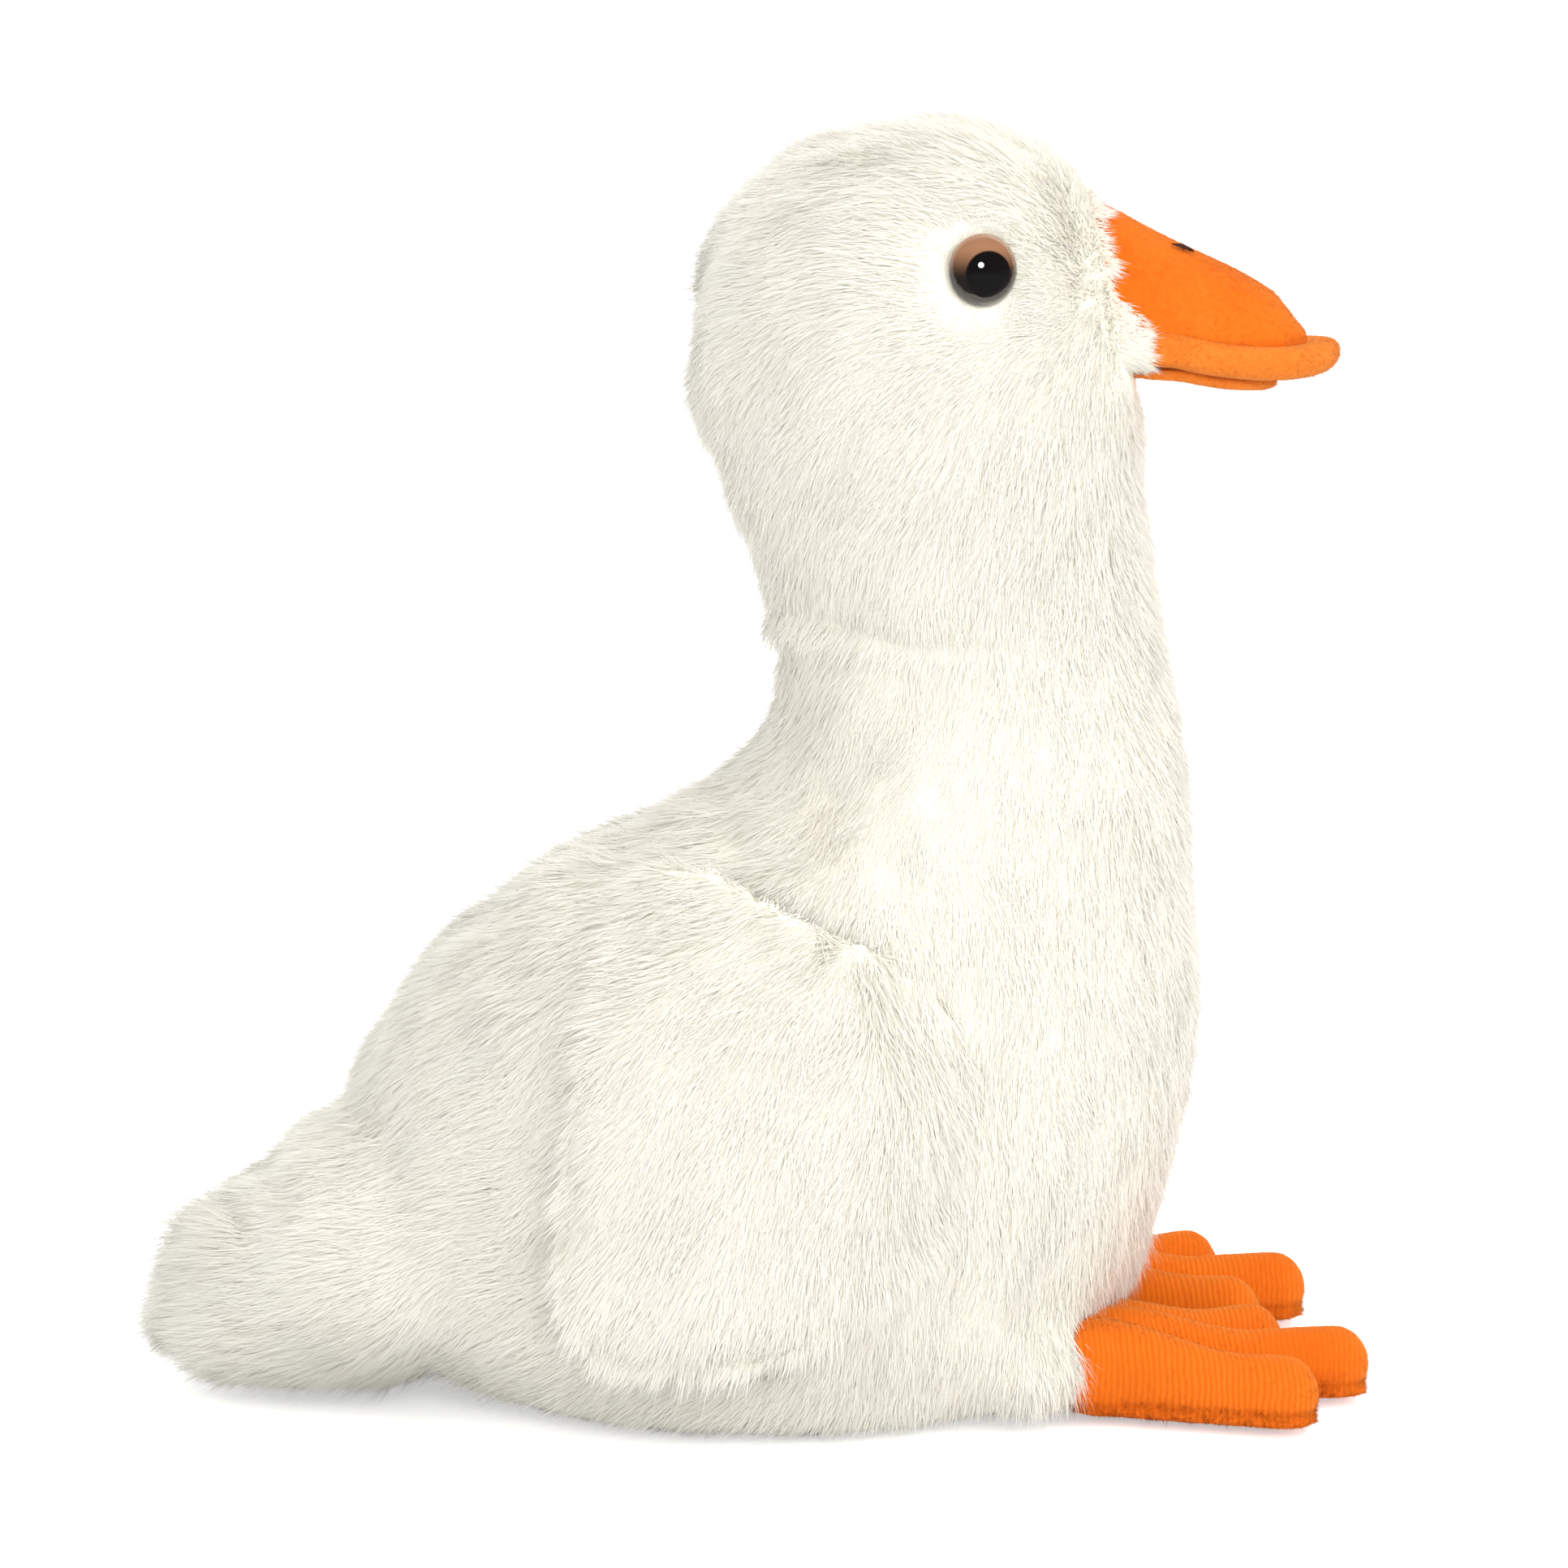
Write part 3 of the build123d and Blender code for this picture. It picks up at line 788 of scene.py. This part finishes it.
def body_comb(points, normals):
    """Pile runs down the breast and neck, back along the back, and along the tail to its tip."""
    x, y, _ = points.T
    back = ramp(x, 20, -35)
    tail = ramp(x, -62, -88)
    return vectors(-0.2 - 0.8 * back - 0.5 * tail, np.sign(y) * 0.1 * (1 - tail), -1.0 + 0.3 * back + 0.5 * tail)


def body_lift(points):
    """Pile lies flat on the breast, rises on the back and stands out at the tail's tip."""
    x = points[:, 0]
    return 16 + 6 * ramp(x, 40, -20) + 20 * ramp(x, -92, -112)


def body_length(points, normals):
    """Longest at the tail's tip and where it laps the wing's front, short at the floor and behind the wing."""
    x, _, z = points.T
    size = pile_length() * (0.95 + 0.2 * ramp(x, 20, -50) + 0.6 * ramp(x, -92, -112))
    front = ramp(x, -12, 10) * ramp(z, 35, 60)
    size *= 1 + (0.9 * front - 0.3) * ramp(wing_gap(points), 10, 3)
    return size * (0.35 + 0.65 * ramp(z, 2, 10))


def head_comb(points, normals):
    """Pile runs back from the bill over the head, down the neck, and out from each eye."""
    away = unit(points - [0.074, 0, 0.214])
    low = (1 - smooth(points[:, 2], 0.17, 0.222))[:, None]
    way = away * (1 - low) + low * [-0.2, 0, -1]
    for node in EYE_NODES:
        centre = np.array(eye_centre(node))
        gap = norm(points - centre)
        part = ramp(gap, 13, 8)[:, None]
        way = way * (1 - part) + unit(points - centre) * part
    return way


def head_keep(points, normals):
    """No roots under the eyes, inside the bill or below the neck's seam."""
    share = ramp(eye_gap(points), 6.4, 6.9)
    return share * (bill_gap(points) > 0.2 * MM) * (ragged_seam(points) > 0)


def head_length(points, normals):
    """Short round the bill and the eyes, longest on crown and nape."""
    x, _, z = points.T
    face = ramp(x, 25, 66) * smooth(z, 0.175, 0.2)
    size = pile_length() * (1 - 0.3 * face)
    size *= 0.52 + 0.48 * ramp(bill_gap(points), 1, 10)
    return size * (0.35 + 0.65 * ramp(eye_gap(points), 7.5, 16))


class GOOSE_OT_body(bpy.types.Operator):
    """Fur body, neck, head and tail over stuffed skins"""
    bl_idname = "goose.body"
    bl_label = "Body, head and tail"

    def execute(self, context):
        skin = whole_skin()
        rise = (-NECK_SEAM_SLOPE, 0, 1.0)
        lower = placed("torso_skin", skin.data.copy())
        cut_away(lower, (NECK.x, 0, NECK_SEAM + 3 * MM), rise)
        places, _, _ = arrays(lower)
        over = ramp(places[:, 2] - seam_height(places[:, 0]), -3.5, 1)
        drawn_in(lower, 0.25 * MM * over)
        rear = placed("tail_skin", lower.data.copy())
        cut_away(rear, (TAIL_CUT, 0, 0), (1, 0, 0))
        cut_away(lower, (TAIL_CUT, 0, 0), (-1, 0, 0))
        upper = placed("head_skin", skin.data.copy())
        cut_away(upper, (NECK.x, 0, NECK_SEAM - 2 * MM), tuple(-v for v in rise))
        surface = arrays(skin)
        bpy.data.objects.remove(skin)
        for piece in (lower, rear, upper):
            finish_piece(piece, "backing with painted shade")

        coat = Coat(body_length, body_comb, keep=lambda p, n: (p[:, 2] > 1.5 * MM) & (ragged_seam(p) < 0),
                    lift=body_lift)
        wings = [tree_of(frame["nodes"][f"wing_lining_{side}"]) for side in SIDES]
        regions = {**halves("breast", low=BREAST_LINE), **halves("flank", TAIL_CUT, BREAST_LINE)}
        furs = split_coats(surface, STRANDS["body"], coat, 100, regions, wings)
        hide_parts(*[n for n in body_nodes("torso") if not n.startswith("bean")])
        for piece in (lower, *furs):
            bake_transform(piece)

        furs = split_coats(surface, STRANDS["tail"], coat, 150, halves("tail", high=TAIL_CUT))
        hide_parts(*body_nodes("tail"))
        for piece in (rear, *furs):
            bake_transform(piece)

        coat = Coat(head_length, head_comb, keep=head_keep, clump=2.0 * MM, width=0.24 * MM)
        furs = split_coats(surface, STRANDS["head"], coat, 200, halves("head"))
        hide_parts(*body_nodes("neck"), *[n for n in body_nodes("head") if n.startswith("head")])
        for piece in (upper, *furs):
            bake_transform(piece)
        return {"FINISHED"}


# ---- wings
def thin_front(skin, sign):
    """Flattens the wing's front and top edges into the breast's pile, and returns the share of thickness left."""
    places, _, _ = arrays(skin)
    tree = tree_of(frame["nodes"]["wing_lining_left" if sign > 0 else "wing_lining_right"])
    level = np.round(places[:, 2] / (3 * MM)).astype(int)
    front = np.array([places[level == k, 0].max() for k in level])
    top = places[:, 2].max()
    edge = np.minimum(front - places[:, 0], (top - places[:, 2]) * 0.55)
    high = ramp(places[:, 2], 24, 52)
    keep = 1 - 0.88 * ramp(edge, 34, 0) * high
    near = np.array([tree.find_nearest(Vector(p))[0][:] for p in places])
    sunk = ramp(edge, 15, 0) * 6.4 * MM * high
    move_to(skin, near + (places - near) * keep[:, None] - sunk[:, None] * [0, sign, 0])
    return keep


class GOOSE_OT_wings(bpy.types.Operator):
    """Padded wings with a fur face and a short-piled lining"""
    bl_idname = "goose.wings"
    bl_label = "Wings"

    def execute(self, context):
        for i, (side, sign) in enumerate(SIDES.items()):
            body = f"wing_{side}"
            skin = copy_of(f"wing_skin_{side}", *body_nodes(body))
            remeshed(skin, 2.2 * MM, 4)
            full = thin_front(skin, sign)
            _, normals, _ = arrays(skin)
            outside = smooth(normals[:, 1] * sign, -0.3, 0.5)
            drawn_in(skin, (0.8 + outside * 2.4) * MM * full**2)
            _, normals, _ = arrays(skin)
            puffed(skin, 1 - smooth(np.abs(normals[:, 1]), 0.1, 0.5), 1.8 * MM)
            divided(skin)
            places, normals, _ = arrays(skin)
            ruffle = 0.7 * ripple(places, 26, 71) + 0.4 * ripple(places * [1, 1, 0.6], 9, 72)
            drawn_in(skin, ruffle * MM * smooth(normals[:, 1] * sign, 0, 0.5))
            for way, share in (
                ((-1.5, 6.5 * sign, 3.2), lambda p: ramp(p[:, 2], 48, 18)),
                ((-1.5, 4.0 * sign, 0), lambda p: ramp(p[:, 0], -20, -44) * ramp(p[:, 2], 100, 70)),
            ):  # the lower edge and then the rear edge stand out from the body
                displaced(skin, lambda p, n: np.array(way) * MM * share(p)[:, None])
            finish_piece(skin, "backing with painted shade")
            hinge = np.array(JOINTS[f"wing_{side}_lift"]["pos_m"])

            def comb(p, n, hinge=hinge):
                return vectors(-0.35 + (p[:, 0] - hinge[0]) * 6, 0, -0.9)

            def length(p, n, sign=sign):
                rim = 0.15 * (1 - smooth(np.abs(n[:, 1]), 0.4, 0.9))
                return pile_length() * (0.3 + (0.75 + rim) * smooth(n[:, 1] * sign, -0.85, -0.35))

            fur = grow(f"fur_wing_{side}", arrays(skin), STRANDS["wing"], Coat(length, comb), 300 + 50 * i)
            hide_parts(*body_nodes(body))
            for piece in (skin, fur):
                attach(piece, body)
        return {"FINISHED"}


# ---- bill and feet
def along_bill(points):
    """Share of the way from the face to the tip, and height over the dome's level base."""
    share = (points[:, 0] - BILL_ROOT[0]) / BILL_REACH
    return share, points[:, 2] - BILL_ROOT[2] + (points[:, 0] - BILL_ROOT[0]) * BILL_SLOPE


def rooted(places, normals):
    """Runs the back of a bill piece on into the face, along the ridge's own slope."""
    back = smooth(-normals[:, 0], 0.15, 0.6) * ramp(-places[:, 0], -86, -80)
    rise = 0.5 * np.clip(along_bill(places)[1] / (20 * MM), 0, 1)
    return vectors(-1.0, 0, rise) * (7 * MM * back)[:, None]


def bowed(places):
    """The bill's long edges dip under the dome and rise again to the tip."""
    share = np.clip(along_bill(places)[0], 0, 1.05)
    return (8 * share**2 - 6 * share) * MM


def plump_dome(places, normals):
    """The ridge runs out full before it drops to the rim, and the walls run down into it."""
    share, height = along_bill(places)
    full = smooth(share, -0.2, 0.5) * (1 - smooth(share, 0.6, 0.84))
    up = 2.6 * MM * full * ramp(height, 1, 7)
    down = smooth(-normals[:, 2], 0.1, 0.7) * 2.4 * MM
    return vectors(0, np.sign(places[:, 1]) * up * 0.25, up - down)


def rolled_rim(places, normals):
    """The rim bows and swells into a rolled lip round the dome, thickest at the tip."""
    share, height = along_bill(places)
    lift = bowed(places) + ramp(height, -5, -1) * np.clip(1 - share, 0, 1) ** 2 * MM
    swell = 0.5 * MM * (1 - np.abs(normals[:, 2])) * smooth(share, -0.1, 0.3)
    return normals * swell[:, None] + UP * lift[:, None]


def flush_pad(places, normals):
    """The lower pad follows the rim's bow and lies against it."""
    return UP * (bowed(places) + 1.2 * MM)[:, None]


def same(value):
    """A function of places and normals that gives this value everywhere."""
    return lambda points, normals: np.full(len(points), value)


def forward_comb(fan, drop):
    """Pile runs towards the tip, out to both sides and down."""
    return lambda points, normals: vectors(1.0, points[:, 1] * fan, drop)


def fringe_coat():
    """Ragged white pile that laps over the bill's root, forwards and down."""
    def edge(points, normals):
        x, _, z = points.T
        ragged = 1.0 * MM * ripple(points, 5, 81) + 0.8 * MM * ripple(points, 2, 82)
        line = 63.8 * MM + 8.0 * MM * ramp(z, 222, 203) + ragged
        return (x < line) & (x > line - 10 * MM) & (z > 199 * MM)
    return Coat(same(3.2 * MM), forward_comb(10, -0.35), keep=edge, lift=20.0, clump=0.9 * MM, pull=0.45,
                width=0.2 * MM, stray=0.2, spread=0.25)


# strands along the knit's courses are shifted towards the darker colour: painted shade of the courses' grooves
def rib_shade_tone(points):
    return 0.13 * np.sin(points[:, 0] / RIB * 2 * math.pi + 1.2 * ripple(points, 14, 61))


def nap_coat(comb, length=0.8 * MM, **given):
    values = dict(lift=42.0, clump=0.5 * MM, pull=0.1, width=0.17 * MM, per=5, stray=0.05, spread=0.3)
    return Coat(same(length), comb, look="nap", slot="velour", **{**values, "tone": rib_shade_tone, **given})


def bristle_coat():
    """The cut edge of the velour, which stands out along a foot's seam."""
    def low_edge(p, n):
        return (p[:, 2] < 5.2 * MM) & (p[:, 2] > 2.2 * MM) & (np.abs(n[:, 2]) < 0.8)
    return nap_coat(lambda p, n: n * 0.2 + [0.5, 0, 0.5], 1.4 * MM,
                    lift=62.0, keep=low_edge, stray=0.1, clump=0.8 * MM)


def nostril(name, cover, sign):
    """A few turns of dark thread through the cover, just beside the ridge."""
    paths = []
    for start, low, end, high, bow in STITCHES:
        path = []
        for t in np.linspace(0, 1, 7):
            along = start + (end - start) * t
            place = Vector((NOSTRIL_X + along, NOSTRIL_Y * sign, 232)) * MM
            hit, normal, _, _ = cover.ray_cast(place, Vector((0, 0, -1)))
            slip = Vector((0, sign, -0.35)) * (low + (high - low) * t) * MM
            path.append(hit + slip + normal * (0.55 + bow * 0.5 * math.sin(math.pi * t)) * MM)
        paths.append(np.array(path))
    return finish_piece(threads(name, paths, 0.34 * MM), "thread")


def threads(name, paths, radius):
    """Closed round threads along short paths, thinner at their ends."""
    places, faces = [], []
    turn = np.linspace(0, 2 * math.pi, 6, endpoint=False)
    for path in paths:
        ahead = unit(np.gradient(path, axis=0))
        side = unit(np.cross(ahead, UP))
        up = np.cross(side, ahead)
        size = radius * (0.4 + 0.6 * np.sin(np.linspace(0, math.pi, len(path))))[:, None, None]
        rings = path[:, None] + size * (side[:, None] * np.cos(turn)[:, None] + up[:, None] * np.sin(turn)[:, None])
        ring = np.arange(len(path) * len(turn)).reshape(len(path), -1) + sum(map(len, places))
        after = np.roll(ring, -1, axis=1)
        start, end = np.full(len(turn), ring[-1, -1] + 1), np.full(len(turn), ring[-1, -1] + 2)
        for corners in ((ring[:-1], after[:-1], after[1:]), (ring[:-1], after[1:], ring[1:]),
                        (start, after[0], ring[0]), (end, ring[-1], after[-1])):
            faces.append(np.stack(corners, axis=-1).reshape(-1, 3))
        places.append(np.vstack([rings.reshape(-1, 3), path[:1], path[-1:]]))
    made = mesh_object(name, np.vstack(places), np.vstack(faces))
    reworked(made.data, lambda work: bmesh.ops.recalc_face_normals(work, faces=work.faces[:]))
    return made


BILL_PIECES = (  # name, CAD nodes, body, voxel in mm, strands, look and shaping
    ("bill_dome", ("upper_bill_cover", "bill_stuffing"), "head", 1.1, 30000, "bill velour", plump_dome),
    ("bill_rim", ("mouth_panel",), "head", 0.9, 26000, "rim velour", rolled_rim),
    ("bill_lower", ("lower_bill_cover", "lower_bill_padding"), "lower_bill", 0.8, 12000, "rim velour", flush_pad),
)


class GOOSE_OT_bill(bpy.types.Operator):
    """Velour bill with a rolled seam edge, and its lower pad"""
    bl_idname = "goose.bill"
    bl_label = "Bill"

    def execute(self, context):
        for name, nodes, body, voxel, strands, look, shape in BILL_PIECES:
            skin = copy_of(name, *nodes)
            remeshed(skin, voxel * MM, 4)
            drawn_in(skin, 0.3 * MM)
            displaced(skin, rooted)
            displaced(skin, shape)
            divided(skin)
            finish_piece(skin, look)
            surface, seed = arrays(skin), len(name)
            coat = nap_coat(forward_comb(4, -0.45), tone=None)
            nap = grow(f"nap_{name}", surface, strands, coat, 500 + seed)
            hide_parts(*nodes)
            for piece in (skin, nap):
                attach(piece, body)
            if name == "bill_dome":
                cover = tree_of(skin)
            if body == "head":
                fringe = grow(f"fringe_{name}", surface, STRANDS["fringe"], fringe_coat(), 560 + seed)
                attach(fringe, body)
        for side, sign in SIDES.items():
            stitches = nostril(f"nostril_stitches_{side}", cover, sign)
            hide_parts(f"nostril_{side}")
            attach(stitches, "head")
        return {"FINISHED"}


def foot_seam(places, normals):
    """1 on the seam round a foot's edge, 0 away from it."""
    return bell(places[:, 2] - FOOT_SEAM, FOOT_SEAM_WIDTH) * (1 - np.abs(normals[:, 2]))


class GOOSE_OT_feet(bpy.types.Operator):
    """Stuffed webbed feet with a bristly cut edge"""
    bl_idname = "goose.feet"
    bl_label = "Feet"

    def execute(self, context):
        for i, side in enumerate(SIDES):
            body = f"foot_{side}"
            skin = copy_of(f"foot_skin_{side}", *body_nodes(body))
            root = np.array(JOINTS[f"foot_{side}_lift"]["pos_m"])
            remeshed(skin, 1.4 * MM, 9)
            places, normals, _ = arrays(skin)
            ahead = norm((places - root)[:, :2])
            top = ramp(places[:, 2], 5, 11)
            rise = 6.0 * MM * ramp(ahead, 34, 6) * top + 0.8 * MM * smooth(normals[:, 2], 0.5, 1)
            move_to(skin, places + UP * rise[:, None])
            places, normals, _ = arrays(skin)
            floor = ramp(places[:, 2], 4, 2)
            puffed(skin, np.maximum(foot_seam(places, normals), floor), 1.0 * MM)
            displaced(skin, lambda p, n: -n * (0.7 * MM * foot_seam(p, n))[:, None])
            divided(skin)
            finish_piece(skin, "velour")

            surface = arrays(skin)
            flat = nap_coat(lambda p, n: unit((p - root) * [1, 1, 0]) + [0.2, 0, -0.25])
            nap = grow(f"nap_foot_{side}", surface, STRANDS["foot"], flat, 600 + 20 * i)
            fringe = grow(f"edge_foot_{side}", surface, STRANDS["edge"], bristle_coat(), 640 + 20 * i)
            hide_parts(*body_nodes(body))
            for piece in (skin, nap, fringe):
                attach(piece, body)
        return {"FINISHED"}


# ---- eyes and filling
def paint(node, look):
    """Gives a CAD node one of the toy's materials."""
    mesh = frame["nodes"][node].data
    mesh.materials.clear()
    mesh.materials.append(looks()[look])


class GOOSE_OT_eyes(bpy.types.Operator):
    """Glossy safety eyes, and the parts that stay inside"""
    bl_idname = "goose.eyes"
    bl_label = "Eyes and filling"

    def execute(self, context):
        for side in SIDES:
            paint(f"eye_{side}", "eye")
            paint(f"eye_washer_{side}", "washer plastic")
            shaded_smooth(frame["nodes"][f"eye_{side}"].data)
        paint("bean_pouch", "pouch weave")
        paint("bean_fill", "bean pellets")
        return {"FINISHED"}


# ---- stage
VIEW_TURN, VIEW_TILT, VIEW_REACH = 6.5, 9.0, 1.05  # degrees, degrees, metres
VIEW_TARGET = Vector((0.0045, 0.0, 0.119))
PICTURE_WIDTH = 0.3053  # metres of the object's middle plane across the picture
FLOOR_HALF = 90  # metres
LIGHTS = (  # name, shape, place, size in metres, power in watts, colour
    ("key", "SQUARE", (0.75, -0.95, 0.85), 0.7, 5.2, (1, 0.985, 0.955)),
    ("fill", "SQUARE", (-0.9, -0.9, 0.7), 0.9, 0.8, (0.97, 0.985, 1)),
    ("top", "SQUARE", (0.0, 0.1, 1.3), 1.0, 4.4, (1, 1, 1)),
    ("front", "DISK", (0.02, -1.25, 0.62), 0.4, 5.0, (1, 0.99, 0.97)),
)


def grey(level):
    return (level, level, level, 1.0)


class GOOSE_OT_stage(bpy.types.Operator):
    """White studio: pale floor, soft light and the camera"""
    bl_idname = "goose.stage"
    bl_label = "Studio"

    def execute(self, context):
        scene = context.scene
        turn, tilt = math.radians(VIEW_TURN), math.radians(VIEW_TILT)
        gaze = Vector((math.sin(turn) * math.cos(tilt), math.cos(turn) * math.cos(tilt), -math.sin(tilt)))
        camera = placed("camera", bpy.data.cameras.new("camera"))
        camera.location = VIEW_TARGET - gaze * VIEW_REACH
        camera.rotation_euler = gaze.to_track_quat("-Z", "Y").to_euler()
        camera.data.sensor_fit = "HORIZONTAL"
        camera.data.angle = 2 * math.atan(PICTURE_WIDTH / 2 / VIEW_REACH)
        camera.data.clip_start = 0.01
        scene.camera = camera

        corners = np.array([[-1, -1, 0], [1, -1, 0], [1, 1, 0], [-1, 1, 0.0]]) * FLOOR_HALF
        floor = mesh_object("floor", corners, np.array([[0, 1, 2, 3]]))
        tree, shader = material("studio floor", 1.0, Specular_IOR_Level=0.0, Emission_Strength=1.0)
        noise = add(tree, "TexNoise", {"Vector": add(tree, "TexCoord")["Object"], "Scale": 3.0})["Fac"]
        ray = add(tree, "LightPath")
        tint = mix_colour(tree, noise, grey(0.93), grey(0.96))
        feed(tree, shader["Base Color"], mix_colour(tree, ray["Is Glossy Ray"], tint, grey(0.08)))
        feed(tree, shader["Emission Color"], mix_colour(tree, ray["Is Camera Ray"], grey(0), grey(0.48)))
        floor.data.materials.append(LOOKS["studio floor"])

        world = scene.world = bpy.data.worlds.new("studio")
        world.use_nodes = True
        tree = world.node_tree
        ray = add(tree, "LightPath")
        seen = add(tree, "MapRange", {"Value": ray["Is Camera Ray"], "To Min": 1.03, "To Max": 1.0})["Result"]
        strength = add(tree, "MapRange", {"Value": ray["Is Glossy Ray"], "To Min": seen, "To Max": 0.06})["Result"]
        feed(tree, tree.nodes["Background"].inputs["Strength"], strength)
        feed(tree, tree.nodes["Background"].inputs["Color"], WHITE)

        for name, shape, place, size, power, colour in LIGHTS:
            light = bpy.data.lights.new(name, "AREA")
            light.shape, light.size, light.energy, light.color = shape, size, power, colour
            lamp = placed(name, light)
            lamp.location = place
            lamp.rotation_euler = (VIEW_TARGET - Vector(place)).to_track_quat("-Z", "Y").to_euler()
            lamp.visible_glossy = name == "front"  # the one light that the eyes mirror
        scene.view_settings.view_transform = "Standard"
        return {"FINISHED"}


# ---- add-on
class GOOSE_PT_panel(bpy.types.Panel):
    """Goose builders in the 3D view's sidebar"""
    bl_idname = "GOOSE_PT_panel"
    bl_label = "Plush goose"
    bl_space_type = "VIEW_3D"
    bl_region_type = "UI"
    bl_category = "Goose"

    def draw(self, context):
        layout = self.layout
        for name in ("density", "pile", "puff", "seed"):
            layout.prop(context.scene.goose, name)
        for operator in BUILDERS:
            layout.operator(operator.bl_idname)


BUILDERS = (GOOSE_OT_body, GOOSE_OT_wings, GOOSE_OT_bill, GOOSE_OT_feet, GOOSE_OT_eyes, GOOSE_OT_stage)
CLASSES = (GooseSettings, *BUILDERS, GOOSE_PT_panel)


def register():
    for cls in CLASSES:
        bpy.utils.register_class(cls)
    bpy.types.Scene.goose = bpy.props.PointerProperty(type=GooseSettings)


def unregister():
    del bpy.types.Scene.goose
    for cls in reversed(CLASSES):
        bpy.utils.unregister_class(cls)


def main():
    register()
    bpy.ops.goose.body()
    bpy.ops.goose.wings()
    bpy.ops.goose.bill()
    bpy.ops.goose.feet()
    bpy.ops.goose.eyes()
    bpy.ops.goose.stage()


if __name__ == "__main__":
    main()
